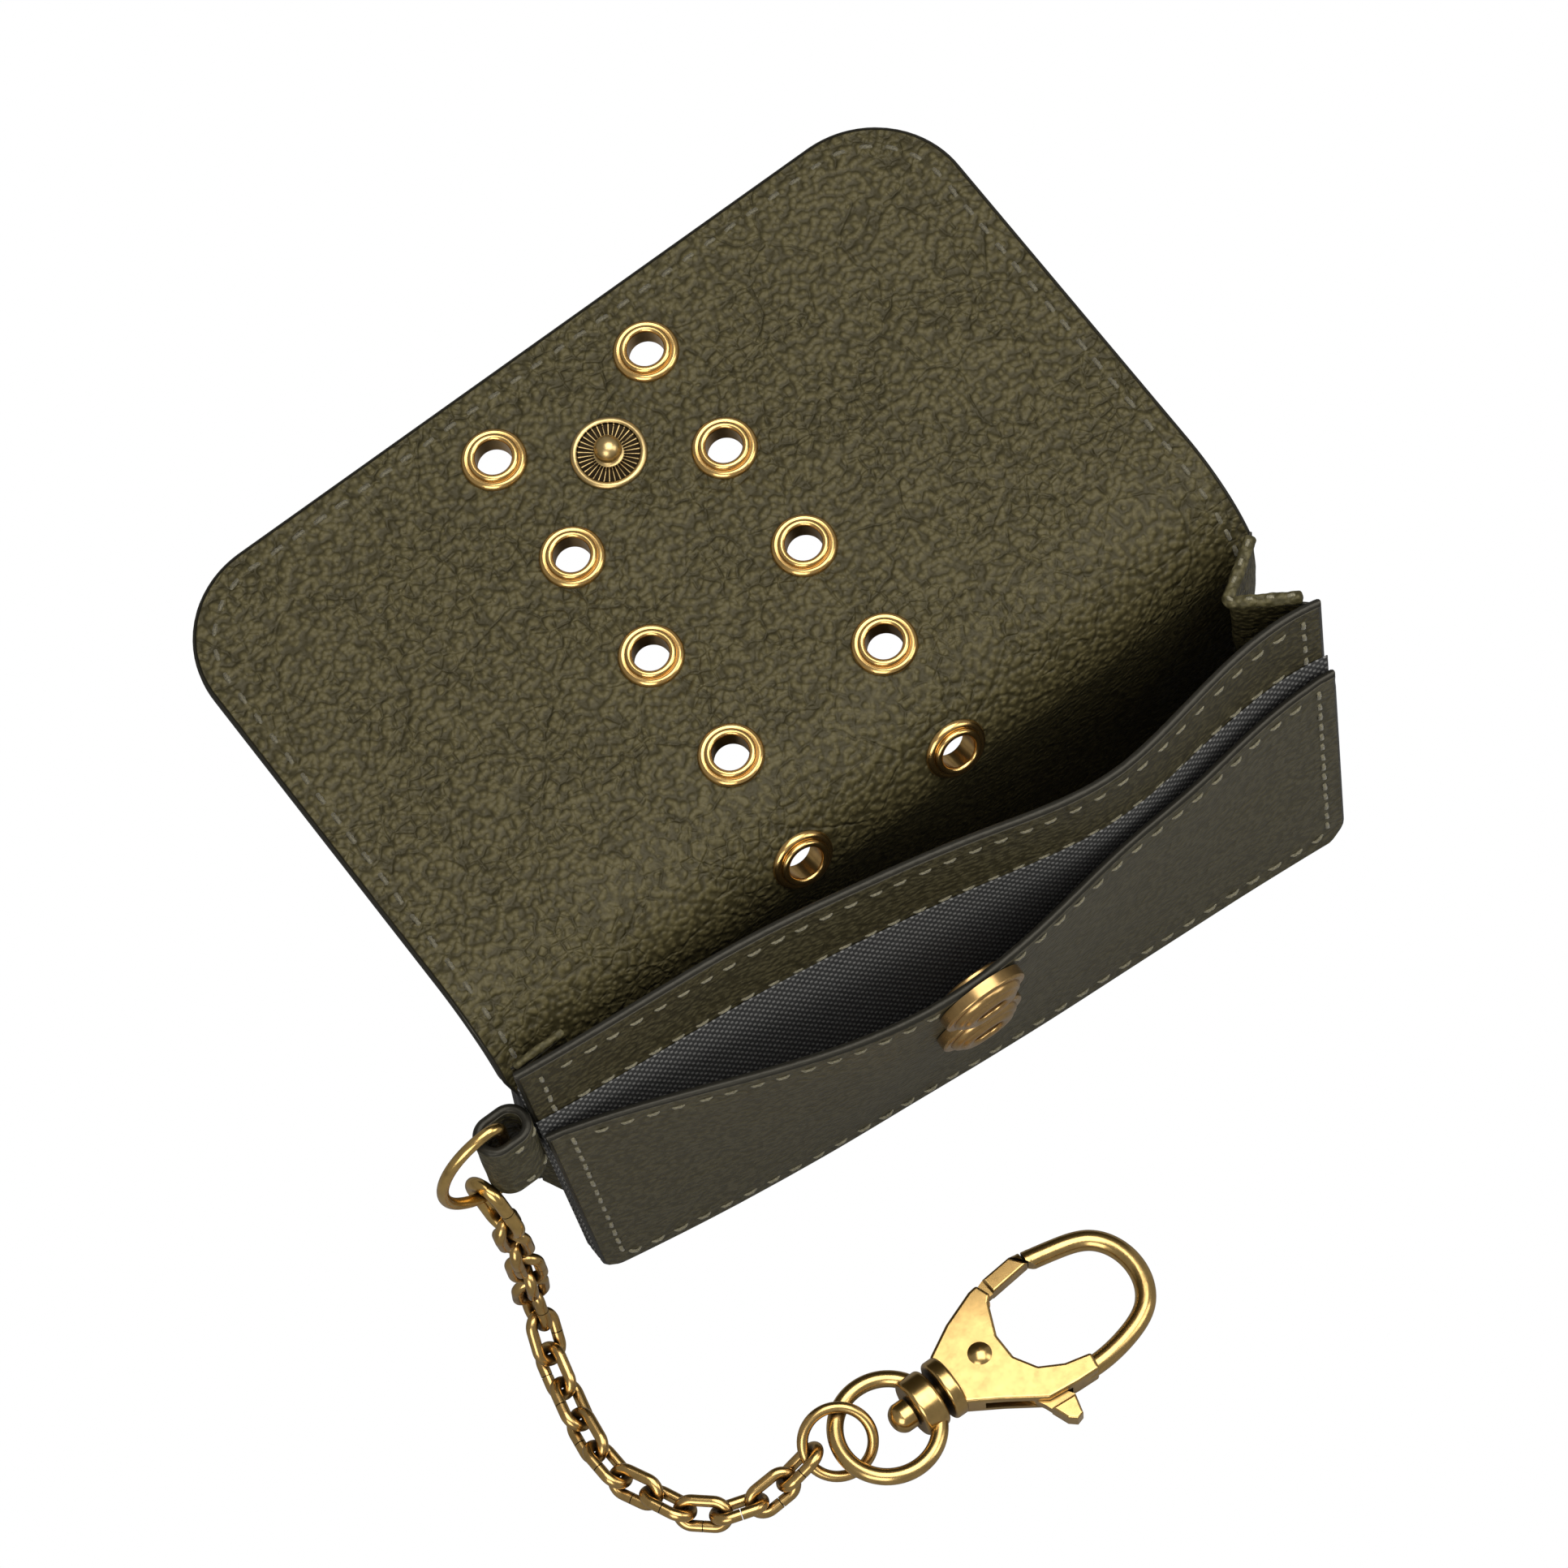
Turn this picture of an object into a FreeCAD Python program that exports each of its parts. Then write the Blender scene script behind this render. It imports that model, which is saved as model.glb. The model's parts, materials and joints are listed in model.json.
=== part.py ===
import FreeCAD, Part
import math
import os

from FreeCAD import Placement, Rotation, Vector

# A leather flap card wallet with a wrist chain: a gusseted body that stands on its base with its
# mouth up, a flap folded back, and a cable chain with a swivel clasp hung from a tab on its left side.
# Frame: origin at the centre of the base, +X to the wallet's right, +Y to its back, +Z up. Millimetres.

doc = FreeCAD.newDocument("ChainWallet")
os.makedirs("parts", exist_ok=True)

# ------------------------------------------------------------------ driving dimensions
SIZES = [
    # body
    ("flap_width", 110.0), ("side_inset", 2.0), ("side_flare", 1.5), ("body_height", 69.5), ("pocket_height", 52.0),
    ("base_depth", 17.0), ("base_depth_right", 22.0), ("base_skew", 10.5), ("base_sheet", 1.2), ("right_lean", 2.0),
    ("leather", 1.2), ("woven", 0.25), ("seam_gap", 0.05), ("panel_gap", 0.2), ("lining_drop", 6.0),
    ("facing_drop", 26.0), ("back_face", 0.5), ("fold_drop", 12.0), ("mouth_bulge", 10.9), ("divider_bulge", 5.5),
    # gussets
    ("gusset_leather", 0.45), ("gusset_drop", 2.0), ("gusset_fold", 7.6), ("gusset_foot_fold", 2.0),
    ("gusset_room", 0.9), ("binding_radius", 0.8), ("binding_flat", 0.5),
    # flap
    ("flap_leather", 1.0), ("flap_facing", 0.85), ("bend_radius", 13.0), ("riser_angle", 65.6),
    ("spine_reach", 9.3), ("flap_reach", 48.5), ("flap_tilt", 2.5), ("flap_corner", 13.0), ("fold_gap", 0.6),
    # eyelets and flap stud
    ("eyelet_radius", 4.0), ("eyelet_bore", 2.2), ("eyelet_sheet", 0.3), ("eyelet_columns", 22.4),
    ("eyelet_rows", 15.9), ("eyelet_edge", 9.4), ("eyelet_roll", 0.45), ("washer_dome", 0.7), ("hole_clear", 0.05),
    ("face_gap", 0.03), ("flange_dome", 0.55), ("stud_edge", 17.3), ("stud_radius", 4.6), ("stud_rim", 0.7),
    ("stud_post", 1.2), ("stud_head", 1.7), ("stud_height", 3.2), ("stud_ribs", 16), ("cap_height", 1.1),
    # snap sockets
    ("socket_radius", 5.65), ("socket_bore", 2.1), ("socket_rim", 1.6), ("socket_crown", 2.8),
    ("socket_top_drop", 22.5), ("socket_pitch", 12.0), ("socket_side", -2.6), ("socket_post", 1.6),
    ("back_radius", 4.2), ("back_sheet", 0.5),
    # tab and D-ring
    ("tab_length", 7.4), ("tab_depth", 5.4), ("tab_height", 13.4), ("tab_leather", 1.2), ("tab_drop", 18.75),
    ("tab_y", -1.65), ("tab_seat", 0.25), ("ring_wire", 0.725), ("ring_half", 8.25), ("ring_bow", 7.8),
    ("ring_corner", 1.6), ("bar_offset", 0.25), ("wire_split", 0.12),
    # chain
    ("link_wire", 0.725), ("link_length", 7.6), ("link_width", 4.9), ("link_gap", 0.13), ("chain_links", 18),
    ("oval_wire", 0.85), ("oval_length", 10.5), ("oval_width", 6.2), ("jump_wire", 0.7), ("jump_radius", 4.3),
    ("floor_gap", 0.05),
    # swivel and clasp
    ("eye_radius", 6.35), ("eye_wire", 1.05), ("eye_reach", 8.6), ("collar_radius", 3.8), ("collar_length", 3.3),
    ("swivel_gap", 0.7), ("post_radius", 1.3), ("post_clear", 0.06), ("post_head", 1.95), ("post_head_length", 2.7),
    ("flange_radius", 3.95), ("flange_length", 1.9), ("clasp_thick", 3.6), ("hook_wire", 1.3),
    ("gate_thick", 1.4), ("gate_slot", 1.6), ("gate_bar", 2.4), ("rivet_radius", 0.8), ("rivet_clear", 0.04),
    ("rivet_head", 1.5), ("rivet_dome", 0.55),
]
sheet = doc.addObject("Spreadsheet::Sheet", "sizes")
for row, (alias, value) in enumerate(SIZES, start=1):
    sheet.set(f"A{row}", alias)
    sheet.set(f"B{row}", str(value))
    sheet.setAlias(f"B{row}", alias)
doc.recompute()
D = {alias: float(getattr(sheet, alias)) for alias, value in SIZES}

NODES = []


def node(obj, label):
    """Registers a document object as one separate piece of the wallet."""
    obj.Label = label
    NODES.append(obj)
    return obj


def feature(label, shape, placement=None):
    """A piece whose shape is worked out below from the sheet's values."""
    obj = doc.addObject("Part::Feature", label)
    obj.Shape = shape
    if placement is not None:
        obj.Placement = placement
    return node(obj, label)


def primitive(kind, name, placement=None, **bound):
    """A Part primitive whose properties follow expressions on the sheet."""
    obj = doc.addObject(kind, name)
    for prop, expression in bound.items():
        obj.setExpression(prop, expression)
    if placement is not None:
        obj.Placement = placement
    return obj


def lifted(obj, height):
    """The same primitive with its foot at a height given by an expression on the sheet."""
    obj.setExpression(".Placement.Base.z", height)
    return obj


def boolean(kind, name, *objs):
    """Part::Cut of two objects, or Part::MultiFuse of several."""
    obj = doc.addObject(kind, name)
    if kind == "Part::Cut":
        obj.Base, obj.Tool = objs
    else:
        obj.Shapes = list(objs)
    obj.Refine = True
    return obj


def spanned(origin, x_axis, y_axis):
    """Placement with local X along one direction and local Y as near as can be to another."""
    x_axis = Vector(x_axis).normalize()
    z_axis = x_axis.cross(y_axis).normalize()
    return Placement(Vector(origin), Rotation(x_axis, z_axis.cross(x_axis), z_axis, "XYZ"))


def copies(shape, frames):
    """The same solid at each frame, as one group of separate solids."""
    return Part.makeCompound([shape.transformed(frame.toMatrix(), True) for frame in frames])


def turned(profile):
    """Solid of revolution about Z. The profile lists (radius, z); a pair of points is an arc's middle and end."""
    points = [Vector(radius, 0, z) for radius, z in (item if len(item) == 2 and not isinstance(item[0], tuple)
                                                     else item[1] for item in profile)]
    edges = []
    for i, item in enumerate(profile):
        start = points[i - 1]
        if isinstance(item[0], tuple):
            middle = Vector(item[0][0], 0, item[0][1])
            edges.append(Part.Arc(start, middle, points[i]).toShape())
        else:
            edges.append(Part.makeLine(start, points[i]))
    return Part.Face(Part.Wire(edges)).revolve(Vector(), Vector(0, 0, 1), 360)


def bent_wire(edges, radius):
    """Round wire along an open path of edges."""
    start = edges[0]
    first = start.FirstParameter
    circle = Part.Circle(start.valueAt(first), start.tangentAt(first), radius).toShape()
    return Part.Wire(edges).makePipeShell([Part.Wire([circle])], True, True)


def polygon_face(points, z=0.0):
    outline = [Vector(x, y, z) for x, y in points]
    return Part.Face(Part.makePolygon(outline + outline[:1]))


# ------------------------------------------------------------------ leather walls of the body
# Each wall is a sheet between a curve at its foot and a curve at its head, drawn through stations that
# are placed as parts of the half width. Bulges push the stations forwards from the straight seam line.
SIDES = [-1.0, -0.67, -0.41, -0.185, 0.1, 0.41, 0.6, 0.78, 1.0]
MOUTH_BULGE = [0.0, 0.43, 0.82, 1.0, 0.87, 0.5, 0.33, 0.12, 0.0]
DIVIDER_BULGE = [0.0, 0.0, 0.02, 0.22, 0.62, 1.0, 0.6, 0.12, 0.0]
FOOT_BULGE = [0.0, 0.1, 0.12, 0.11, 0.1, 0.06, 0.03, 0.01, 0.0]
LAST = len(SIDES) - 1

leather, woven, seam, fold_gap = D["leather"], D["woven"], D["seam_gap"], D["fold_gap"]
LINING = seam + woven                                         # a lining and the seam that parts it from its leather
STACK = leather + 2 * LINING + D["panel_gap"]                 # front wall, the pocket's two linings and play
BACK_STACK = D["flap_leather"] + D["flap_facing"] + seam
BACK_TOP = D["body_height"] - D["fold_drop"]
PIVOT = Vector(0, D["back_face"], BACK_TOP)
GUSSET_TOP = D["body_height"] - D["gusset_drop"]
FLOOR_OF_WALLS = D["base_sheet"] + seam

FOOT_LEFT = -(D["base_depth"] - D["base_skew"]) / 2
FOOT_RIGHT = FOOT_LEFT - D["base_skew"]
HEAD_LEFT = D["back_face"] - fold_gap - D["gusset_room"] - leather - LINING - seam - STACK
HEAD_RIGHT = FOOT_RIGHT - D["right_lean"]


def half_width(z):
    """Half the body's width, which flares a little towards the mouth."""
    return D["flap_width"] / 2 - D["side_inset"] + D["side_flare"] * z / D["body_height"]


def chord(left, right, side):
    return left + (right - left) * (side + 1) / 2


def seam_line(side, z):
    """The front wall's outer face where it isn't pushed out, at a side station and a height."""
    foot, head = chord(FOOT_LEFT, FOOT_RIGHT, side), chord(HEAD_LEFT, HEAD_RIGHT, side)
    return foot + (head - foot) * z / D["body_height"]


def bulge(i, z, top, head_bulge):
    foot = D["mouth_bulge"] * FOOT_BULGE[i]
    return foot + (head_bulge - foot) * z / top


def front_y(i, z):
    """Outer face of the front wall at station i and height z."""
    return seam_line(SIDES[i], z) - bulge(i, z, D["pocket_height"], D["mouth_bulge"] * MOUTH_BULGE[i])


def divider_y(i, z):
    """Front face of the divider's leather at station i and height z."""
    return seam_line(SIDES[i], z) - bulge(i, z, D["body_height"], D["divider_bulge"] * DIVIDER_BULGE[i]) + STACK


def back_y(i, z):
    """Front face of the back wall, which leans from the base's back edge to the fold."""
    foot = chord(FOOT_LEFT + D["base_depth"], FOOT_RIGHT + D["base_depth_right"], SIDES[i]) - BACK_STACK
    return foot + (D["back_face"] - foot) * min(z, BACK_TOP) / BACK_TOP


def face_curve(face, z, behind=0.0):
    """A wall's plan curve at height z; its parameter is the side station, so walls of one face stay parallel."""
    half = half_width(z)
    curve = Part.BSplineCurve()
    curve.interpolate(Points=[Vector(half * side, face(i, z) + behind, z) for i, side in enumerate(SIDES)],
                      Parameters=SIDES)
    return curve


def wall(face, low, high, near, far):
    """A sheet of leather or cloth from height low to height high, between two distances behind its face."""
    wires = []
    for z in (low, high):
        front, rear = face_curve(face, z, near), face_curve(face, z, far)
        right = Part.makeLine(front.value(1.0), rear.value(1.0))
        left = Part.makeLine(rear.value(-1.0), front.value(-1.0))
        wires.append(Part.Wire([front.toShape(), right, rear.toShape(), left]))
    return Part.makeLoft(wires, True, True)


def socket_frame(z):
    """Placement on the front wall's outer face; local Z points out of it."""
    along = D["socket_side"] / half_width(z)
    curve, above = face_curve(front_y, z), face_curve(front_y, z + 1.0)
    point = curve.value(along)
    across = Vector(*curve.tangent(along)[0])
    return spanned(point, across, above.value(along) - point)


SOCKET_TOP = D["body_height"] - D["socket_top_drop"]
SOCKETS = [socket_frame(SOCKET_TOP - D["socket_pitch"] * i) for i in range(2)]


def drilled(solid, frames, radius, depth=8.0, top=4.0):
    """The sheet with a round hole at each frame, from a height above the frame down to a depth below it."""
    for frame in frames:
        tool = Part.makeCylinder(radius, top + depth, Vector(0, 0, -depth))
        tool.Placement = frame
        solid = solid.cut(tool)
    return solid


def seated(solid, frames, radius, thickness):
    """A curved sheet planed flat around each frame on its hollow side, where a flat disc lies."""
    for frame in frames:
        tool = Part.makeCylinder(radius, 4.0, Vector(0, 0, -thickness - 4.0))
        tool.Placement = frame
        solid = solid.cut(tool)
    return solid


front = wall(front_y, FLOOR_OF_WALLS, D["pocket_height"], 0.0, leather)
front = seated(front, SOCKETS, D["back_radius"] + D["hole_clear"], leather)
feature("front_panel", drilled(front, SOCKETS, D["socket_post"] + D["hole_clear"]))
pocket_lining = wall(front_y, FLOOR_OF_WALLS, D["pocket_height"] - D["lining_drop"], leather + seam, leather + LINING)
feature("front_pocket_lining", drilled(pocket_lining, SOCKETS, D["back_radius"] + 2 * D["hole_clear"]))
feature("divider_lining", wall(divider_y, FLOOR_OF_WALLS, D["body_height"] - D["facing_drop"], -LINING, -seam))
feature("divider_panel", wall(divider_y, FLOOR_OF_WALLS, D["body_height"], 0.0, leather))
feature("compartment_lining", wall(divider_y, FLOOR_OF_WALLS, D["body_height"] - D["lining_drop"],
                                   leather + seam, leather + LINING))
feature("back_lining", wall(back_y, FLOOR_OF_WALLS, BACK_TOP - fold_gap / 2, 0.0, D["flap_facing"]))
feature("back_panel", wall(back_y, FLOOR_OF_WALLS, BACK_TOP - fold_gap / 2, D["flap_facing"] + seam, BACK_STACK))

base_points = [(half_width(0) * side, front_y(i, 0)) for i, side in enumerate(SIDES)]
base_points += [(half_width(0), back_y(LAST, 0) + BACK_STACK), (-half_width(0), back_y(0, 0) + BACK_STACK)]
feature("base_panel", polygon_face(base_points).extrude(Vector(0, 0, D["base_sheet"])))


# Gussets: a strip at each end, folded inwards like a bellows between the back and the divider. A rolled
# binding caps the strip's upper edge.
def gusset_span(i, z):
    """Where the strip meets the divider's lining and the back wall."""
    return divider_y(i, z) + leather + LINING + D["panel_gap"], back_y(i, z) - fold_gap


def gusset_plan(side, z, fold):
    """Plan of the folded strip at height z: out along its outer face, then back along its inner face."""
    near, far = gusset_span(LAST if side > 0 else 0, z)
    edge, half = half_width(z) - D["panel_gap"], (far - near) / 2
    deep = D["gusset_leather"] * min(2.5, math.hypot(half, fold) / half)
    middle = near + half
    outline = [(edge, far), (edge - fold, middle), (edge, near), (edge - deep, near),
               (edge - fold - deep, middle), (edge - deep, far)]
    return Part.makePolygon([Vector(side * x, y, z) for x, y in outline + outline[:1]])


def gusset(label, side):
    levels = [(FLOOR_OF_WALLS, D["gusset_foot_fold"]), (BACK_TOP, D["gusset_fold"]), (GUSSET_TOP, D["gusset_fold"])]
    feature(label, Part.makeLoft([gusset_plan(side, z, fold) for z, fold in levels], True, True))


def rod(start, end, radius):
    """Round bar with round ends."""
    bar = Part.makeCylinder(radius, (end - start).Length, start, end - start)
    return bar.fuse([Part.makeSphere(radius, start), Part.makeSphere(radius, end)])


gusset("gusset_right", 1)
gusset("gusset_left", -1)
BINDING_Z = GUSSET_TOP + D["binding_radius"] + seam
near, far = gusset_span(LAST, GUSSET_TOP)
edge, round_edge = half_width(GUSSET_TOP) - D["binding_radius"], D["binding_radius"]
apex = Vector(edge - D["gusset_fold"], (near + far) / 2, BINDING_Z)
tips = [Vector(edge, near + round_edge, BINDING_Z), Vector(edge, far - round_edge, BINDING_Z)]
feature("gusset_binding_right", rod(tips[0], apex, round_edge).fuse(rod(apex, tips[1], round_edge)).removeSplitter())
near, far = gusset_span(0, GUSSET_TOP)
edge, flat = half_width(GUSSET_TOP) - D["panel_gap"], D["binding_flat"]
outer_tip = Vector(-edge + flat, (near + far) / 2, GUSSET_TOP + flat + seam)
feature("gusset_binding_left", rod(outer_tip, outer_tip + Vector(D["gusset_fold"], 0, 0), flat).removeSplitter())

# ------------------------------------------------------------------ flap: riser, spine and flap
# One double sheet bends over from the back wall. It creases at three places, so it is three pairs of sheets.
# Angles on the bend count from its foot, where the leather stands upright, to 90 where it would lie level.
TILT = math.radians(D["flap_tilt"])
FLAT_ANGLE = 90.0 - D["flap_tilt"]
BACKWARD = Vector(0, math.cos(TILT), math.sin(TILT))
TOPWARD = Vector(0, -math.sin(TILT), math.cos(TILT))
BEND_CENTRE = PIVOT + Vector(0, D["bend_radius"], 0)
FLAT_START = BEND_CENTRE + TOPWARD * D["bend_radius"]
HALF_CREASE = math.degrees(fold_gap / 2 / D["bend_radius"])
SHEETS = {"facing": (0.0, D["flap_facing"]), "leather": (D["flap_facing"] + seam, BACK_STACK)}


def on_bend(radius, angle):
    turn = math.radians(angle)
    return BEND_CENTRE + Vector(0, -radius * math.cos(turn), radius * math.sin(turn))


def bend_arc(radius, first, last):
    return Part.Arc(*[on_bend(radius, angle) for angle in (first, (first + last) / 2, last)]).toShape()


def bend_sheet(start, stop, run, depths):
    """Sheet over the flap's width between two depths: part of the bend, then a straight run backwards."""
    outer, inner = (D["bend_radius"] - depth for depth in depths)
    ends = [on_bend(outer, stop), on_bend(inner, stop)]
    tips = [end + BACKWARD * run for end in ends]
    edges = [bend_arc(outer, start, stop)]
    if run:
        edges += [Part.makeLine(ends[0], tips[0]), Part.makeLine(tips[0], tips[1]), Part.makeLine(tips[1], ends[1])]
    else:
        edges.append(Part.makeLine(ends[0], ends[1]))
    edges += [bend_arc(inner, stop, start), Part.makeLine(on_bend(inner, start), on_bend(outer, start))]
    face = Part.Face(Part.Wire(edges))
    face.translate(Vector(-D["flap_width"] / 2, 0, 0))
    return face.extrude(Vector(D["flap_width"], 0, 0))


def flap_frame(distance, offset=0.0):
    """Placement on the top face at a distance along the leather from the free edge; local Z points out of it."""
    run = D["spine_reach"] + fold_gap + D["flap_reach"] - distance
    angle, origin = FLAT_ANGLE, FLAT_START + BACKWARD * run
    if run < 0:
        angle = FLAT_ANGLE + math.degrees(run / D["bend_radius"])
        origin = on_bend(D["bend_radius"], angle)
    return Placement(origin + Vector(offset, 0, 0), Rotation(Vector(1, 0, 0), 90.0 - angle))


def flap_sheet(depths):
    """The flat part of the flap with its two round free corners."""
    half, reach, radius = D["flap_width"] / 2, D["flap_reach"], D["flap_corner"]
    cut = radius * (1 - math.sqrt(0.5))
    right, left = Vector(half, reach - radius, 0), Vector(-half, reach - radius, 0)
    edges = [Part.makeLine(Vector(-half, 0, 0), Vector(half, 0, 0)), Part.makeLine(Vector(half, 0, 0), right),
             Part.Arc(right, Vector(half - cut, reach - cut, 0), Vector(half - radius, reach, 0)).toShape(),
             Part.makeLine(Vector(half - radius, reach, 0), Vector(radius - half, reach, 0)),
             Part.Arc(Vector(radius - half, reach, 0), Vector(cut - half, reach - cut, 0), left).toShape(),
             Part.makeLine(left, Vector(-half, 0, 0))]
    solid = Part.Face(Part.Wire(edges)).extrude(Vector(0, 0, depths[1] - depths[0]))
    solid.translate(Vector(0, 0, -depths[1]))
    return solid.transformed(flap_frame(D["flap_reach"]).toMatrix(), True)


COLUMNS = [-D["eyelet_columns"] / 2, D["eyelet_columns"] / 2]
ROWS = [D["eyelet_edge"] + D["eyelet_rows"] * i for i in range(5)]
EYELETS = {"flap": [flap_frame(distance, x) for distance in ROWS[:3] for x in COLUMNS],
           "spine": [flap_frame(ROWS[3], x) for x in COLUMNS],
           "riser": [flap_frame(ROWS[4], x) for x in COLUMNS]}
BARREL = D["eyelet_bore"] + D["eyelet_sheet"]
SEAT = D["eyelet_radius"] + D["hole_clear"]
STUD_FRAME = flap_frame(D["stud_edge"])

for name, depths in SHEETS.items():
    parts = {"riser": bend_sheet(HALF_CREASE, D["riser_angle"] - HALF_CREASE, 0.0, depths),
             "spine": bend_sheet(D["riser_angle"] + HALF_CREASE, FLAT_ANGLE, D["spine_reach"], depths),
             "flap": drilled(flap_sheet(depths), [STUD_FRAME], D["stud_post"] + D["hole_clear"])}
    for part, solid in parts.items():
        if part != "flap":
            solid = seated(solid, EYELETS[part], SEAT, BACK_STACK)
        feature(f"{part}_{name}", drilled(solid, EYELETS[part], BARREL + D["hole_clear"]))

# ------------------------------------------------------------------ eyelets, stud and snap sockets
# Each fitting is drawn with Z out of the face that it is seen on and 0 on the leather.
gap = D["face_gap"]
bore, rim, roll, dome = D["eyelet_bore"], D["eyelet_radius"], D["eyelet_roll"], D["washer_dome"]
under = -BACK_STACK - gap
washer = turned([(BARREL + gap, gap), (rim, gap), ((rim - 0.15, dome * 0.62), (rim - 0.55, dome)),
                 ((BARREL + 0.7, dome * 0.97), (BARREL + gap, dome * 0.6))])
eyelet = turned([(bore, under - 0.1), (bore, dome + gap), ((bore + roll, dome + gap + roll), (bore + 2 * roll, dome + gap)),
                 (BARREL, dome + gap), (BARREL, under), (rim, under),
                 ((rim - 0.3, under - D["flange_dome"] * 0.85), (BARREL + 0.3, under - D["flange_dome"])),
                 ((bore + 0.15, under - D["flange_dome"] * 0.75), (bore, under - 0.1))][:-1])
for part, frames in EYELETS.items():
    names = {"flap": "flap", "spine": "spine", "riser": "fold"}
    feature(f"{names[part]}_eyelets", copies(eyelet, frames))
    feature(f"{names[part]}_eyelet_washers", copies(washer, frames))

dish, post, head, tall = D["stud_radius"], D["stud_post"], D["stud_head"], D["stud_height"]
stud = turned([(0, under - 0.5), (post, under - 0.5), (post, gap), (dish, gap),
               ((dish - 0.1, D["stud_rim"] * 0.8), (dish - 0.4, D["stud_rim"])),
               ((dish - 0.7, D["stud_rim"] * 0.9), (dish - 0.9, 0.35)), (post + 0.9, 0.3),
               ((post + 0.2, 0.5), (post, 0.9)), (post, tall - head - math.sqrt(head ** 2 - post ** 2)),
               ((head, tall - head), (0.0, tall))])
for i in range(int(D["stud_ribs"])):
    groove = Part.makeBox(dish - post - 2.0, 0.28, 1.0, Vector(post + 1.0, -0.14, 0.2))
    groove.rotate(Vector(), Vector(0, 0, 1), 360.0 * i / D["stud_ribs"])
    stud = stud.cut(groove)
feature("flap_stud", stud, STUD_FRAME)
cap_foot = primitive("Part::Cylinder", "stud_cap_foot", Radius="sizes.stud_radius", Height="sizes.cap_height")
cap_hole = lifted(primitive("Part::Cylinder", "stud_cap_hole", Radius="sizes.stud_post + sizes.hole_clear",
                            Height="sizes.cap_height"), "0.4 + sizes.hole_clear")
cap_cut = boolean("Part::Cut", "stud_cap_cut", cap_foot, cap_hole)
doc.recompute()
cap = doc.addObject("Part::Fillet", "flap_stud_cap")
cap.Base = cap_cut
outer_edges = [i for i, item in enumerate(cap_cut.Shape.Edges, start=1)
               if item.BoundBox.ZMax < 0.01 and item.BoundBox.XLength > 2 * dish - 0.5]
cap.Edges = [(i, 0.8, 0.8) for i in outer_edges]
cap.Placement = STUD_FRAME.multiply(Placement(Vector(0, 0, under - D["cap_height"]), Rotation()))
node(cap, "flap_stud_cap")

socket, crown, step, hole = D["socket_radius"], D["socket_crown"], D["socket_rim"], D["socket_bore"]
socket_solid = turned([(0, gap), (socket, gap), (socket, step - 0.35), ((socket - 0.1, step - 0.1), (socket - 0.35, step)),
                       (socket - 0.95, step), ((socket - 1.15, step + 0.45), (socket - 1.75, step + 0.75)),
                       ((hole + 1.0, crown), (hole + 0.35, crown - 0.08)), ((hole + 0.08, crown - 0.2), (hole, crown - 0.5)),
                       (hole, 0.6), (0, 0.6)])
backs = turned([(0, -leather - seam - D["back_sheet"]), (D["back_radius"] - 0.2, -leather - seam - D["back_sheet"]),
                ((D["back_radius"] - 0.05, -leather - seam - 0.4), (D["back_radius"], -leather - seam - 0.25)),
                (D["back_radius"], -leather - seam), (D["socket_post"], -leather - seam), (D["socket_post"], 0), (0, 0)])
feature("socket_upper", socket_solid, SOCKETS[0])
feature("socket_lower", socket_solid.copy(), SOCKETS[1])
feature("socket_backs", copies(backs, SOCKETS))


# ------------------------------------------------------------------ tab, D-ring and oval ring
def oval_face(length, width):
    """Flat oval with round ends, centred on the origin."""
    radius, run = width / 2, (length - width) / 2
    edges = [Part.makeLine(Vector(-run, -radius, 0), Vector(run, -radius, 0)),
             Part.Arc(Vector(run, -radius, 0), Vector(run + radius, 0, 0), Vector(run, radius, 0)).toShape(),
             Part.makeLine(Vector(run, radius, 0), Vector(-run, radius, 0)),
             Part.Arc(Vector(-run, radius, 0), Vector(-run - radius, 0, 0), Vector(-run, -radius, 0)).toShape()]
    return Part.Face(Part.Wire(edges))


TAB_Z = D["body_height"] - D["tab_drop"]
TAB_CENTRE = Vector(-half_width(TAB_Z) - D["tab_seat"] - D["tab_length"] / 2, D["tab_y"], TAB_Z)
tab = oval_face(D["tab_length"], D["tab_depth"])
tab = tab.cut(oval_face(D["tab_length"] - 2 * D["tab_leather"], D["tab_depth"] - 2 * D["tab_leather"]))
tab = tab.extrude(Vector(0, 0, D["tab_height"]))
feature("ring_tab", tab, Placement(TAB_CENTRE - Vector(0, 0, D["tab_height"] / 2), Rotation()))

# The D-ring's bar runs through the tab; its ends turn round a corner into half an ellipse.
wire, half_bar, bow, corner = D["ring_wire"], D["ring_half"], D["ring_bow"], D["ring_corner"]
BAR = TAB_CENTRE - Vector(D["bar_offset"], 0, 0)
turn_z, knee = half_bar - corner, corner * (1 - math.sqrt(0.5))


def bow_point(angle):
    """A point of the bow; 0 is its top, 180 its foot."""
    turn = math.radians(angle)
    return Vector(-corner - bow * math.sin(turn), 0, half_bar * math.cos(turn))


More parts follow.
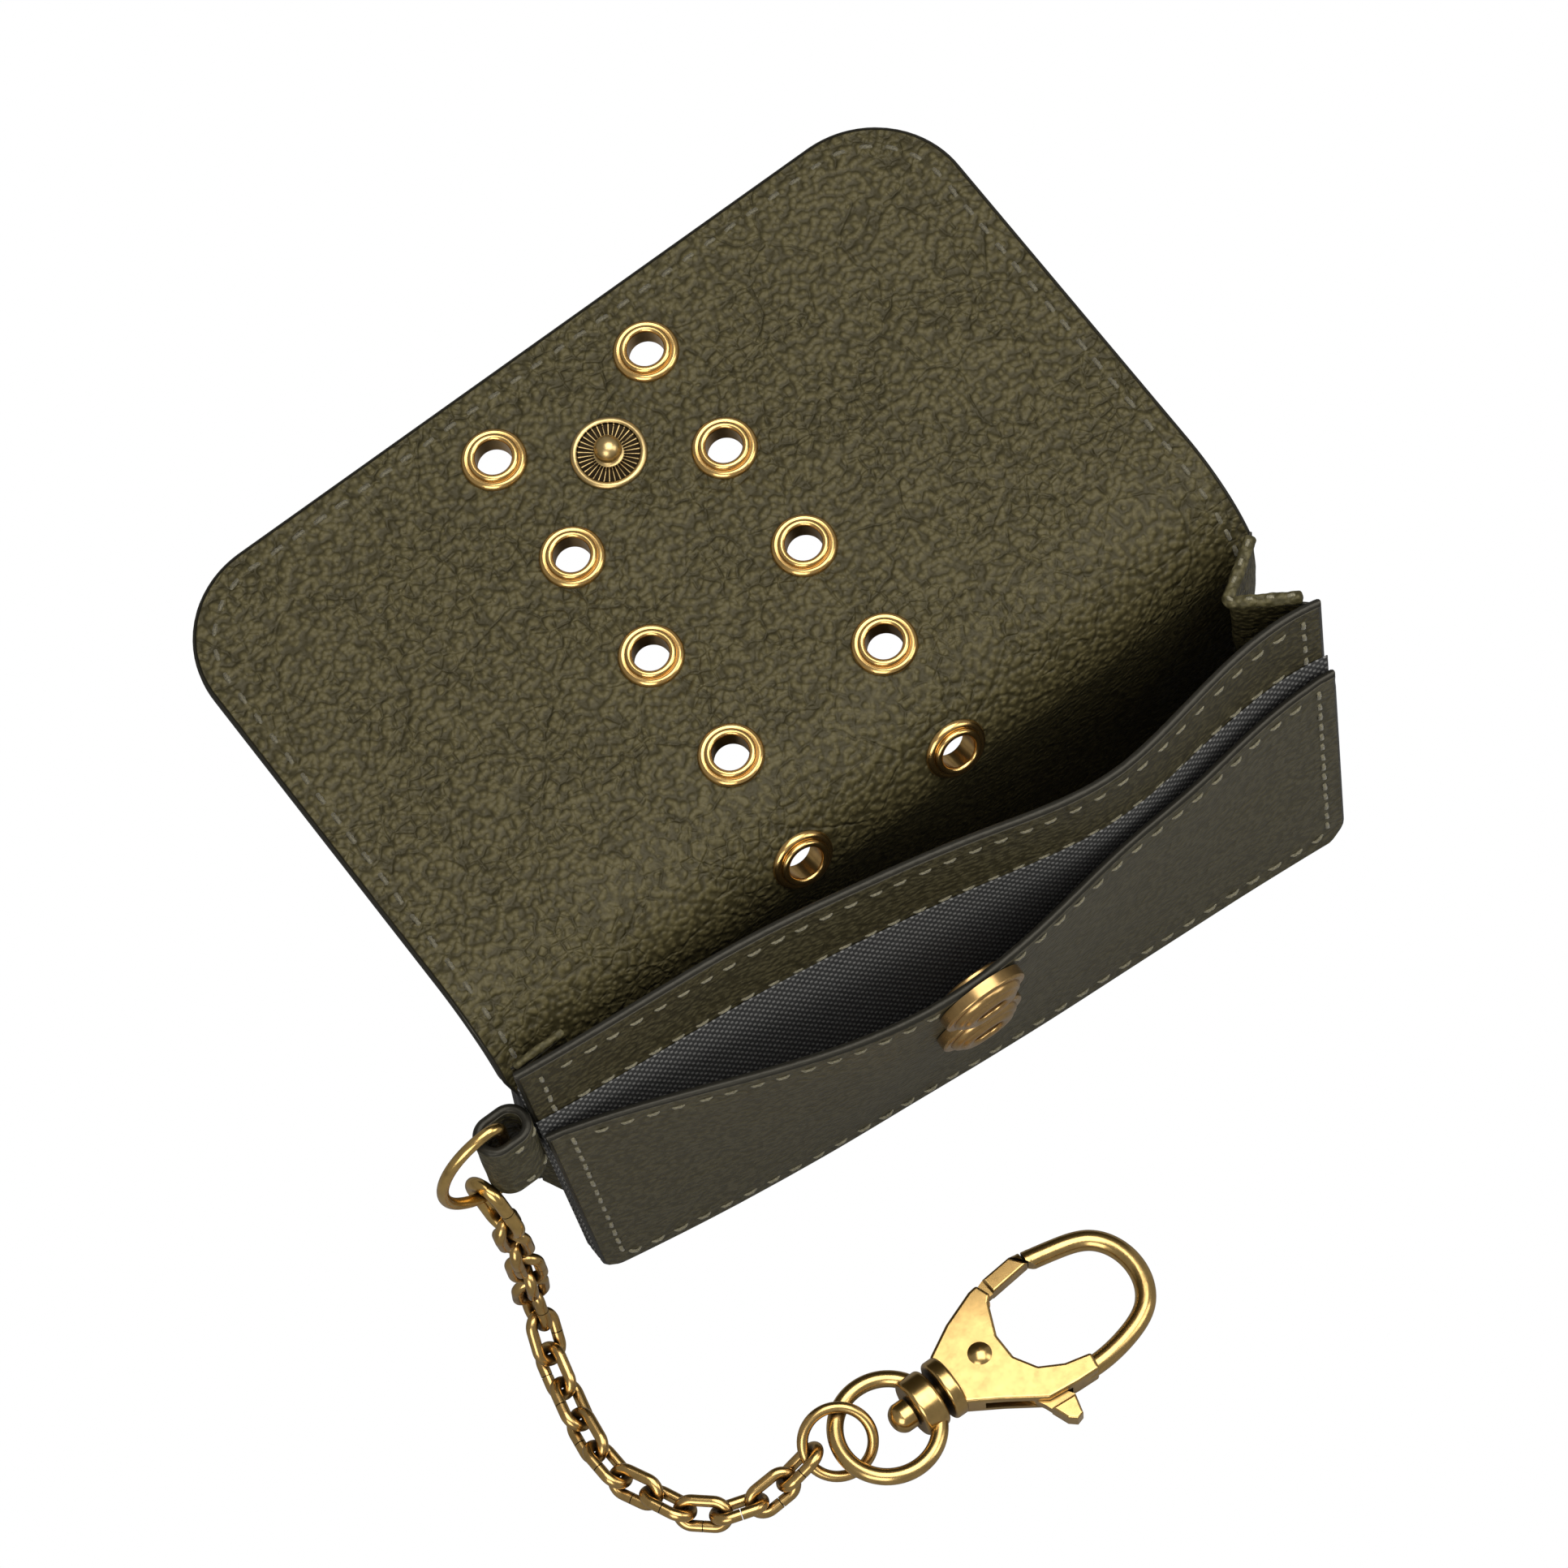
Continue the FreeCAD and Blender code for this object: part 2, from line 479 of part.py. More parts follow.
bow_curve = Part.BSplineCurve()
bow_curve.interpolate(Points=[bow_point(angle) for angle in range(0, 181, 15)],
                      InitialTangent=Vector(-1, 0, 0), FinalTangent=Vector(1, 0, 0))
ring_path = [Part.makeLine(Vector(0, 0, D["wire_split"] / 2), Vector(0, 0, turn_z)),
             Part.Arc(Vector(0, 0, turn_z), Vector(-knee, 0, half_bar - knee), Vector(-corner, 0, half_bar)).toShape(),
             bow_curve.toShape(),
             Part.Arc(Vector(-corner, 0, -half_bar), Vector(-knee, 0, knee - half_bar), Vector(0, 0, -turn_z)).toShape(),
             Part.makeLine(Vector(0, 0, -turn_z), Vector(0, 0, -D["wire_split"] / 2))]
feature("d_ring", bent_wire(ring_path, wire), Placement(BAR, Rotation()))


def oval_link(length, width, radius):
    """Round-wire oval link along X, with its first end's wire at the origin and a split in one side."""
    bend, half_split = (width - 2 * radius) / 2, D["wire_split"] / 2
    reach = length - 2 * radius
    far_bend, middle = reach - bend, reach / 2
    edges = [Part.makeLine(Vector(middle + half_split, -bend, 0), Vector(far_bend, -bend, 0)),
             Part.Arc(Vector(far_bend, -bend, 0), Vector(reach, 0, 0), Vector(far_bend, bend, 0)).toShape(),
             Part.makeLine(Vector(far_bend, bend, 0), Vector(bend, bend, 0)),
             Part.Arc(Vector(bend, bend, 0), Vector(0, 0, 0), Vector(bend, -bend, 0)).toShape(),
             Part.makeLine(Vector(bend, -bend, 0), Vector(middle - half_split, -bend, 0))]
    return bent_wire(edges, radius)


def unit(vector):
    return Vector(vector).normalize()


# The oval ring hangs on the bow at a point near its foot, and leans towards the chain's start.
HOOK_ANGLE = 150.0
HOOK_POINT = BAR + bow_point(HOOK_ANGLE)
HOOK_TANGENT = unit(bow_point(HOOK_ANGLE + 1) - bow_point(HOOK_ANGLE - 1))
CHAIN_START = BAR + Vector(-4.2, -3.25, -13.75)
oval_reach = D["oval_length"] - 2 * D["oval_wire"]
hang = unit(CHAIN_START - HOOK_POINT)
hang = unit(hang - HOOK_TANGENT * hang.dot(HOOK_TANGENT))
OVAL_START = HOOK_POINT - hang * (wire + D["oval_wire"] + D["link_gap"])
oval_along = unit(CHAIN_START - OVAL_START)
oval_across = unit(HOOK_TANGENT.cross(oval_along))
OVAL_END = OVAL_START + oval_along * oval_reach
feature("oval_ring", oval_link(D["oval_length"], D["oval_width"], D["oval_wire"]),
        spanned(OVAL_START, oval_along, oval_across))

# ------------------------------------------------------------------ chain
# The chain falls from the oval ring, turns on the ground and runs round to the front of the wallet. Each
# link's wire hooks the link before it, and each link stands across the plane of the one before.
LINK_AXIS = 2.25                                              # height of the chain's middle when it lies on the ground
LANDED_Z = 4.0                                                # a link that starts lower than this lies on the ground
link_reach = D["link_length"] - 2 * D["link_wire"]
ROUTE = [Vector(-0.1, 0.0, -25.7), Vector(-0.15, 0.0, -34.0)]
GROUND = [Vector(-0.3, -0.9, 9.6), Vector(-0.9, -2.3, 5.2), Vector(-2.0, -5.0, 2.0), Vector(-3.2, -9.0, 0.2),
          Vector(-4.4, -13.6, 0), Vector(-5.1, -18.8, 0),
          Vector(-5.0, -24.8, 0), Vector(-3.0, -28.4, 0), Vector(-0.9, -33.2, 0), Vector(3.0, -36.3, 0),
          Vector(6.8, -37.3, 0), Vector(13.6, -37.2, 1.6), Vector(22.0, -37.1, 5.8)]
route = [OVAL_END] + [BAR + Vector(-4.1, -2.25, 0) + point for point in ROUTE if BAR.z + point.z > 6.0]
route += [Vector(BAR.x - 4.1 + point.x, point.y - 1.65, LINK_AXIS + point.z) for point in GROUND]
route_curve = Part.BSplineCurve()
route_curve.interpolate(route)
route_points = route_curve.discretize(Number=900)


def next_on_route(start, reach, index):
    """First point of the route past an index that is a link's reach away from a start."""
    while index < len(route_points) - 1 and (route_points[index] - start).Length < reach:
        index += 1
    return index


def transported(first, directions):
    """Links' width directions, each across the one before."""
    across = [first]
    for along in directions[1:]:
        across.append(unit(across[-1].cross(along)))
    return across


def rolled(along, sign):
    """Width direction of a link on the ground, which lies half over to one side or the other."""
    side = unit(Vector(0, 0, 1).cross(along))
    return unit(side + along.cross(side) * sign)


links = int(D["chain_links"])
pitch_loss = 2 * D["link_wire"] + D["link_gap"]
across = None
for attempt in range(4):
    starts, alongs, index = [], [], 0
    hook, hook_across = OVAL_END, oval_across
    start_gap = D["oval_wire"] + D["link_wire"] + D["link_gap"]
    along = unit(route_points[5] - OVAL_END)
    for k in range(links):
        lead = unit(along - hook_across * along.dot(hook_across))
        start = hook - lead * start_gap
        for refine in range(3):
            index_k = next_on_route(start, link_reach, index)
            along = unit(route_points[index_k] - start)
            lead = unit(along - hook_across * along.dot(hook_across))
            start = hook - lead * start_gap
        index = index_k - 40 if index_k > 40 else 0
        starts.append(start)
        alongs.append(along)
        hook, start_gap = start + along * link_reach, pitch_loss
        hook_across = across[k] if across else unit(hook_across.cross(along))
    across = transported(unit(oval_across.cross(alongs[0])), alongs)
    wanted = [rolled(along, -1 if k % 2 else 1) for k, along in enumerate(alongs)]
    landed = min(k for k, start in enumerate(starts) if start.z < LANDED_Z)
    error = math.degrees(math.atan2(across[landed].cross(wanted[landed]).dot(alongs[landed]),
                                    across[landed].dot(wanted[landed])))
    error = (error + 90.0) % 180.0 - 90.0
    hanging = [Rotation(alongs[k], error * (k + 1) / (landed + 1)).multVec(across[k]) for k in range(landed)]
    across = hanging + wanted[landed:]
LINK_FRAMES = [spanned(start, along, width) for start, along, width in zip(starts, alongs, across)]
LINK_ENDS = [start + along * link_reach for start, along in zip(starts, alongs)]
link_solid = oval_link(D["link_length"], D["link_width"], D["link_wire"])
for k, frame in enumerate(LINK_FRAMES, start=1):
    feature(f"chain_link_{k:02d}", link_solid.copy(), frame)

# ------------------------------------------------------------------ jump ring
JUMP_TURN = 17.5                                              # the ring's plan heading off the chain's line
JUMP_LEAN = 34.0                                              # its rear edge is raised by this angle
jump_wire, jump_radius = D["jump_wire"], D["jump_radius"]
heading = unit(Rotation(Vector(0, 0, 1), -JUMP_TURN).multVec(Vector(1, 0, 0)))
jump_side = Rotation(heading, JUMP_LEAN).multVec(Vector(0, 0, 1).cross(heading))
link_lead = unit(heading - across[-1] * heading.dot(across[-1]))
JUMP_HOOK = LINK_ENDS[-1] - link_lead * (D["link_wire"] + jump_wire + 2 * D["link_gap"])
JUMP_CENTRE = JUMP_HOOK + heading * jump_radius
jump_split = D["wire_split"] / jump_radius
jump_circle = Part.Circle(Vector(), Vector(0, 0, 1), jump_radius)
jump_arc = Part.Arc(jump_circle, -1.2 + jump_split, 2 * math.pi - 1.2).toShape()
feature("jump_ring", bent_wire([jump_arc], jump_wire), spanned(JUMP_CENTRE, heading, jump_side))

# ------------------------------------------------------------------ swivel
# Local X runs along the clasp from the swivel to the nose, 0 at the flange's middle. The clasp lies on the
# ground on its flange and its nose, so it points down a little.
HOOK_REACH = 28.05                                            # from the flange to the middle of the hook's wire
PITCH = math.asin((D["flange_radius"] - D["hook_wire"]) / HOOK_REACH)
EYE_OFFSET = Vector(5.8, -2.3, 0)                             # in plan, from the jump ring's centre to the eye's
clasp_along = Vector(math.cos(PITCH), 0, -math.sin(PITCH))
FLANGE_Z = D["floor_gap"] + D["flange_radius"] / math.cos(PITCH)
EYE_CENTRE = JUMP_CENTRE + EYE_OFFSET
EYE_CENTRE.z = FLANGE_Z + D["eye_reach"] * math.sin(PITCH)
CLASP_ORIGIN = EYE_CENTRE + clasp_along * D["eye_reach"]
CLASP = spanned(CLASP_ORIGIN, clasp_along, Vector(0, 1, 0))
AXIS = Placement(Vector(), Rotation(Vector(0, 1, 0), 90))      # turns a solid of revolution onto local X


def on_axis(profile):
    return turned(profile).transformed(AXIS.toMatrix(), True)


flange_start, flange_half = -D["flange_length"] / 2, D["flange_length"] / 2
collar_end = flange_start - D["swivel_gap"]
collar_start, collar = collar_end - D["collar_length"], D["collar_radius"]
shaft, head = D["post_radius"], D["post_head"]
head_start = collar_start - 0.3 - D["post_head_length"]
eye = Part.makeTorus(D["eye_radius"], D["eye_wire"], Vector(-D["eye_reach"], 0, 0))
eye = eye.fuse(on_axis([(0, collar_start), (collar - 0.6, collar_start),
                        ((collar - 0.15, collar_start + 0.2), (collar, collar_start + 0.6)),
                        (collar, collar_end - 0.6), ((collar - 0.15, collar_end - 0.2), (collar - 0.6, collar_end)),
                        (0, collar_end)]))
bore_length = D["collar_length"] + 4.0
eye = eye.cut(Part.makeCylinder(shaft + D["post_clear"], bore_length, Vector(collar_start - 2, 0, 0), Vector(1, 0, 0)))
eye = eye.cut(Part.makeBox(4, 12, 12, Vector(collar_end, -6, -6)))
eye = eye.cut(Part.makeCylinder(head + 0.3, 3.0, Vector(collar_start - 3.0, 0, 0), Vector(1, 0, 0)))
feature("swivel_eye", eye.removeSplitter(), CLASP)
post_solid = on_axis([(0, head_start), ((head * 0.75, head_start + 0.45), (head, head_start + 1.3)),
                      (head, collar_start - 0.3), (shaft, collar_start - 0.3), (shaft, flange_half - 0.4),
                      (0, flange_half - 0.4)])
feature("swivel_post", post_solid, CLASP)

# ------------------------------------------------------------------ clasp and its gate
PLATE = [(0.3, 3.6), (0.3, -3.4), (4.6, -6.1), (9.1, -9.2), (13.1, -9.6), (16.2, -9.7), (16.6, -7.4), (13.2, -6.6),
         (10.35, -5.0), (8.75, -2.2), (8.75, 1.2), (10.5, 5.2), (11.3, 6.0), (10.6, 8.0), (9.3, 7.8), (4.6, 6.0)]
WIRE_LINE = [(12.2, -7.9), (13.6, -8.25), (16.9, -8.5), (21.8, -7.75), (26.0, -5.7), (HOOK_REACH, -0.43), (25.6, 5.0),
             (21.5, 6.6), (18.2, 7.3), (15.2, 7.9)]
SLOT = [(2.6, -12), (2.6, 2.1), (4.9, 3.7), (7.0, 6.0), (9.1, 7.6), (9.1, 10), (14, 10), (14, -3), (12.3, -5.5),
        (12.3, -12)]
PIVOT_POINT = Vector(5.65, 0.5, 0)
LEVER = [(8.3, -9.3), (9.4, -12.4), (10.3, -13.2), (11.3, -12.9), (12.0, -10.2), (10.1, -7.4), (8.3, -3.5),
         (7.95, 0.5), (8.2, 2.2), (9.6, 4.9), (11.0, 6.05), (17.5, 6.8), (16.0, 8.75), (11.7, 8.3), (10.1, 7.7),
         (7.5, 5.5), (5.5, 2.9), (3.6, 1.8), (3.35, -0.5), (5.2, -4.0), (7.2, -7.2)]
GATE_BAR = [(11.9, 6.15), (17.5, 6.8), (16.0, 8.75), (11.8, 8.3)]
THUMB = [(8.6, -10.2), (9.4, -12.4), (10.3, -13.2), (11.3, -12.9), (12.0, -10.4)]
NOSE_CUT = [(12, 4.5), (19.45, 4.5), (16.15, 9.0), (16.15, 12), (12, 12)]


def slab(points, thickness, round_side=0.0, round_face=0.0):
    """Flat piece of even thickness, centred on the plane of the clasp, with rounded edges where asked."""
    solid = polygon_face(points, -thickness / 2).extrude(Vector(0, 0, thickness))
    if round_side:
        upright = [item for item in solid.Edges if item.BoundBox.ZLength > thickness * 0.9]
        solid = solid.makeFillet(round_side, upright)
    if round_face:
        flat_edges = [item for item in solid.Edges if item.BoundBox.ZLength < thickness * 0.1]
        solid = solid.makeFillet(round_face, flat_edges)
    return solid


hook_line = Part.BSplineCurve()
hook_line.interpolate([Vector(x, y, 0) for x, y in WIRE_LINE])
hook = bent_wire([hook_line.toShape()], D["hook_wire"])
hook = hook.cut(slab(NOSE_CUT, 4 * D["hook_wire"]))
flange, half_length = D["flange_radius"], flange_half
flange_solid = on_axis([(shaft + D["post_clear"], flange_start), (flange - 0.5, flange_start),
                        ((flange - 0.12, flange_start + 0.15), (flange, flange_start + 0.5)),
                        (flange, flange_half - 0.5), ((flange - 0.12, flange_half - 0.15), (flange - 0.5, flange_half)),
                        (0, flange_half), (0, flange_half - 0.1), (shaft + D["post_clear"], flange_half - 0.1)])
plate = slab(PLATE, D["clasp_thick"], 0.45, 0.4)
plate = plate.cut(Part.makeBox(3, 12, 12, Vector(flange_half - 3.3, -6, -6)))
clasp = plate.fuse([hook, flange_solid])
clasp = clasp.cut(slab(SLOT, D["gate_slot"]))
rivet_hole = Part.makeCylinder(D["rivet_radius"] + D["rivet_clear"], 8, PIVOT_POINT - Vector(0, 0, 4))
feature("clasp_body", clasp.cut(rivet_hole).removeSplitter(), CLASP)

lever = slab(LEVER, D["gate_thick"])
lever = lever.fuse([slab(GATE_BAR, D["gate_bar"], 0.0, 0.3), slab(THUMB, D["gate_bar"], 0.0, 0.3)])
feature("gate_lever", lever.cut(rivet_hole).removeSplitter(), CLASP)

top, rivet, cap_radius = D["clasp_thick"] / 2 + gap, D["rivet_radius"], D["rivet_head"]
dome_radius = (cap_radius ** 2 + D["rivet_dome"] ** 2) / (2 * D["rivet_dome"])
half_turn = math.asin(cap_radius / dome_radius) / 2
dome_middle = (dome_radius * math.sin(half_turn), top + D["rivet_dome"] - dome_radius * (1 - math.cos(half_turn)))
rivet_solid = turned([(0, -top - D["rivet_dome"]), ((dome_middle[0], -dome_middle[1]), (cap_radius, -top)),
                      (rivet, -top), (rivet, top), (cap_radius, top), (dome_middle, (0, top + D["rivet_dome"]))])
feature("clasp_rivet", rivet_solid, CLASP.multiply(Placement(PIVOT_POINT, Rotation())))

# ------------------------------------------------------------------ checks and export
doc.recompute()
for obj in doc.Objects:
    bad = [state for state in obj.State if "Invalid" in state or "Error" in state]
    if bad:
        raise RuntimeError(f"{obj.Label} is {bad}")
for obj in NODES:
    if obj.Shape.isNull() or not obj.Shape.isValid() or not obj.Shape.Solids:
        raise RuntimeError(f"{obj.Label} has no valid solid")
for obj in NODES:
    obj.Shape.exportStep(f"parts/{obj.Label}.step")
volume = sum(obj.Shape.Volume for obj in NODES)
print(f"{len(NODES)} pieces, {volume:.0f} cubic millimetres of material")
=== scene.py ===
# %% [markdown]
# # Chain wallet
# A pebbled leather flap wallet stands open on its base: its flap is folded back, and a brass cable chain runs
# from a tab on its left side to a swivel clasp on the ground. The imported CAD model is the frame. The metal
# fittings keep their exact solids and get better finishes. Every leather and cloth piece is made anew here.
# Lengths are metres in the scene, and millimetres in the helper functions that mirror the CAD sizes.

import json
import math

import bpy
import numpy as np
from mathutils import Matrix, Vector


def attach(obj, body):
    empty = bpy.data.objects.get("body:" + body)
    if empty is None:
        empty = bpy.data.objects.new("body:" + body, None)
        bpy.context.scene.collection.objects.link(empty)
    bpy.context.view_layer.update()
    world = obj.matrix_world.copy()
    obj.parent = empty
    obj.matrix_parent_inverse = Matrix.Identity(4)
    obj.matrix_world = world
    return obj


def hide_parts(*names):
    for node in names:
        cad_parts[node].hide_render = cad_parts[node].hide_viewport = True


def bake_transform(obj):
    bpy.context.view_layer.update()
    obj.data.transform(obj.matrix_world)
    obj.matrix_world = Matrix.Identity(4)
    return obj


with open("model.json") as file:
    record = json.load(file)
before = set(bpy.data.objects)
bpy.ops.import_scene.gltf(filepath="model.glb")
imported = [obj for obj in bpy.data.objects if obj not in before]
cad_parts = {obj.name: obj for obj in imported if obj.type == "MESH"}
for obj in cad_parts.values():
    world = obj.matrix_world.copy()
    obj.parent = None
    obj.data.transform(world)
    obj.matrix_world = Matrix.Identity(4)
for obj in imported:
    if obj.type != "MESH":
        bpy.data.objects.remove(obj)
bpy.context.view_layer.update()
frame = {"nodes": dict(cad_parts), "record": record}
NODES = frame["nodes"]
MM = 0.001
rng = np.random.default_rng(7)
print(len(NODES), "CAD nodes")

# %% [markdown]
# The sizes below are the wallet's own: they repeat the CAD sheet, so that the new leather lies exactly where the
# CAD leather is. A wall is a curve at its foot and a curve at its head, drawn through the same stations.

# %% Sizes and wall curves
WIDTH, INSET, FLARE, TALL, POCKET = 110.0, 2.0, 1.5, 69.5, 52.0
LEATHER, WOVEN, SEAM, PLAY, BASE_SHEET = 1.2, 0.25, 0.05, 0.2, 1.2
BACK_FACE, BACK_TOP, FOLD_GAP, GUSSET_ROOM = 0.5, 57.5, 0.6, 0.9
FLAP_LEATHER, FLAP_FACING, BEND_R, TILT = 1.0, 0.85, 13.0, 2.5
SPINE_REACH, FLAP_REACH, CORNER, RISER_ANGLE = 9.3, 48.5, 13.0, 65.6
MOUTH, SWELL, FOOT_CORNER, STUD_EDGE, STITCH_LINE = 10.9, 5.5, 4.0, 17.3, 2.7
LINING = SEAM + WOVEN
STACK = LEATHER + 2 * LINING + PLAY
BACK_STACK = FLAP_LEATHER + FLAP_FACING + SEAM
FOOT_L, FOOT_R = -3.25, -13.75
HEAD_L = BACK_FACE - FOLD_GAP - GUSSET_ROOM - LEATHER - LINING - SEAM - STACK
HEAD_R = FOOT_R - 2.0
SIDES = np.array([-1.0, -0.67, -0.41, -0.185, 0.1, 0.41, 0.6, 0.78, 1.0])
MOUTH_BULGE = np.array([0.0, 0.43, 0.82, 1.0, 0.87, 0.5, 0.33, 0.12, 0.0])
DIVIDER_BULGE = np.array([0.0, 0.0, 0.02, 0.22, 0.62, 1.0, 0.6, 0.12, 0.0])
FOOT_BULGE = np.array([0.0, 0.1, 0.12, 0.11, 0.1, 0.06, 0.03, 0.01, 0.0])


def spline_basis(at):
    """Rows of weights that carry values at the stations to a smooth curve's values at other parameters."""
    n = len(SIDES)
    gaps = np.diff(SIDES)
    slopes = np.zeros((n, n))
    system = np.zeros((n, n))
    for i in range(1, n - 1):
        system[i, i - 1], system[i, i], system[i, i + 1] = gaps[i], 2 * (gaps[i - 1] + gaps[i]), gaps[i - 1]
        slopes[i, i - 1] -= 3 * gaps[i] / gaps[i - 1]
        slopes[i, i] += 3 * gaps[i] / gaps[i - 1] - 3 * gaps[i - 1] / gaps[i]
        slopes[i, i + 1] += 3 * gaps[i - 1] / gaps[i]
    for end, picks in ((0, [0, 1, 2, 3]), (n - 1, [n - 1, n - 2, n - 3, n - 4])):
        system[end, end] = 1.0
        x = SIDES[picks]
        for a in range(4):
            others = [b for b in range(4) if b != a]
            total = 0.0
            for skip in others:
                product = 1.0
                for b in others:
                    if b != skip:
                        product *= (x[0] - x[b]) / (x[a] - x[b])
                total += product / (x[a] - x[skip])
            slopes[end, picks[a]] += total
    tangents = np.linalg.solve(system, slopes)
    rows = []
    for value in np.atleast_1d(at):
        i = int(np.clip(np.searchsorted(SIDES, value) - 1, 0, n - 2))
        gap = gaps[i]
        part = (value - SIDES[i]) / gap
        row = gap * ((part ** 3 - 2 * part ** 2 + part) * tangents[i] + (part ** 3 - part ** 2) * tangents[i + 1])
        row[i] += 2 * part ** 3 - 3 * part ** 2 + 1
        row[i + 1] += 3 * part ** 2 - 2 * part ** 3
        rows.append(row)
    return np.array(rows)


def half_width(z):
    return WIDTH / 2 - INSET + FLARE * z / TALL


def foot_trim(z):
    """How far a wall's side draws in at height z, where its foot corner is rounded."""
    rise = min(max(z - BASE_SHEET - SEAM, 0.0), FOOT_CORNER)
    return FOOT_CORNER - math.sqrt(FOOT_CORNER ** 2 - (FOOT_CORNER - rise) ** 2)


def seam_line(z):
    foot = FOOT_L + (FOOT_R - FOOT_L) * (SIDES + 1) / 2
    head = HEAD_L + (HEAD_R - HEAD_L) * (SIDES + 1) / 2
    return foot + (head - foot) * z / TALL


def front_face(z):
    return seam_line(z) - MOUTH * (FOOT_BULGE + (MOUTH_BULGE - FOOT_BULGE) * z / POCKET)


def divider_face(z):
    return seam_line(z) - MOUTH * FOOT_BULGE * (1 - z / TALL) - SWELL * DIVIDER_BULGE * z / TALL + STACK


def back_face(z):
    foot = (FOOT_L + 17.0) + (FOOT_R + 22.0 - FOOT_L - 17.0) * (SIDES + 1) / 2 - BACK_STACK
    return foot + (BACK_FACE - foot) * min(z, BACK_TOP) / BACK_TOP


print("wall curves ready; mouth at", round(float(spline_basis(-0.1)[0] @ front_face(POCKET)), 2), "mm")

# %% [markdown]
# A leather sheet is a middle surface with a thickness that closes to a round at its edges, as skived and
# painted leather does. Rows and columns crowd near the edges so that the round is smooth. Each vertex keeps its
# distance from the edge, and the finish uses that to paint the edge.

# %% Sheet builder
def spaced(length, step, rim=1.1):
    """Positions from 0 to length in millimetres that crowd near both ends."""
    near = np.array([0.0, 0.03, 0.1, 0.22, 0.4, 0.62, 0.85]) * rim
    middle = np.linspace(rim, length - rim, max(3, int((length - 2 * rim) / step)))
    return np.concatenate([near, middle, length - near[::-1]])


def normals_of(surface):
    across = np.gradient(surface, axis=1)
    along = np.gradient(surface, axis=0)
    normal = np.cross(across, along)
    return normal / np.maximum(np.linalg.norm(normal, axis=2, keepdims=True), 1e-9)


def make_mesh(name, verts, faces, rim=None):
    mesh = bpy.data.meshes.new(name)
    mesh.from_pydata([tuple(v) for v in (verts * MM).tolist()], [], faces)
    mesh.update()
    mesh.shade_smooth()
    mesh.set_sharp_from_angle(angle=math.radians(62))
    if rim is not None:
        attribute = mesh.attributes.new("rim", "FLOAT", "POINT")
        attribute.data.foreach_set("value", rim.astype(np.float32))
    obj = bpy.data.objects.new(name, mesh)
    bpy.context.scene.collection.objects.link(obj)
    return obj


def sheet(name, surface, thickness, edge, bump=None, holes=(), hole_radius=0.0, flip=False):
    """Closed sheet around a middle surface (rows, columns, 3). edge is each point's distance from the sheet's edge."""
    normal = normals_of(surface) * (-1 if flip else 1)
    if bump is not None:
        surface = surface + normal * bump[..., None]
    radius = thickness / 2
    close = np.clip(edge / radius, 0, 1)
    half = radius * np.sqrt(np.maximum(1 - (1 - close) ** 2, 0)) + 0.003
    front = surface + normal * half[..., None]
    back = surface - normal * half[..., None]
    rows, cols = surface.shape[:2]
    index = np.arange(rows * cols).reshape(rows, cols)
    quads = np.stack([index[:-1, :-1], index[:-1, 1:], index[1:, 1:], index[1:, :-1]], axis=-1).reshape(-1, 4)
    keep = np.ones(len(quads), bool)
    flat = surface.reshape(-1, 3)
    centres = flat[quads].mean(axis=1)
    for origin, axis in holes:
        away = centres - origin
        depth = away @ axis
        keep &= ~((np.linalg.norm(away - depth[:, None] * axis, axis=1) < hole_radius) & (np.abs(depth) < 4))
    quads = quads[keep]
    count = rows * cols
    turned = quads[:, ::-1]
    outer, inner = (turned, quads) if flip else (quads, turned)
    faces = outer.tolist() + (inner + count).tolist()
    loop = np.concatenate([index[0, :], index[1:, -1], index[-1, -2::-1], index[-2:0:-1, 0]])
    following = np.roll(loop, -1)
    sides = np.stack([following, loop, loop + count, following + count], axis=-1)
    faces += (sides if not flip else sides[:, ::-1]).tolist()
    verts = np.concatenate([front.reshape(-1, 3), back.reshape(-1, 3)])
    return make_mesh(name, verts, faces, np.concatenate([edge.ravel(), edge.ravel()]))


def smooth_noise(x, y, scale, seed):
    """Soft random swell of about -1 to 1 over two coordinates in millimetres, from a few rotated waves."""
    local = np.random.default_rng(seed)
    total = np.zeros_like(x)
    for octave in range(7):
        angle, phase, stretch = local.uniform(0, math.pi), local.uniform(0, 6.28, 2), local.uniform(0.6, 1.7)
        u = (x * math.cos(angle) + y * math.sin(angle)) / (scale * stretch)
        v = (y * math.cos(angle) - x * math.sin(angle)) / (scale * stretch)
        total += np.sin(u * 6.28 + phase[0] + 1.3 * np.sin(v * 3.1 + phase[1]))
    return total / 4.0


def pucker(edge, along, line=STITCH_LINE, pitch=3.2, depth=0.10):
    """The dip that a row of stitches pulls into the leather, deeper at each stitch."""
    pull = np.exp(-((edge - line) / 0.75) ** 2)
    return -depth * pull * (0.75 + 0.35 * np.cos(2 * math.pi * along / pitch))


print("sheet tools ready")

# %% [markdown]
# The stitches are short lengths of twisted thread that rise from one hole and dive into the next. All the
# stitches of a seam are one mesh, made from one template stitch laid along the seam's line.

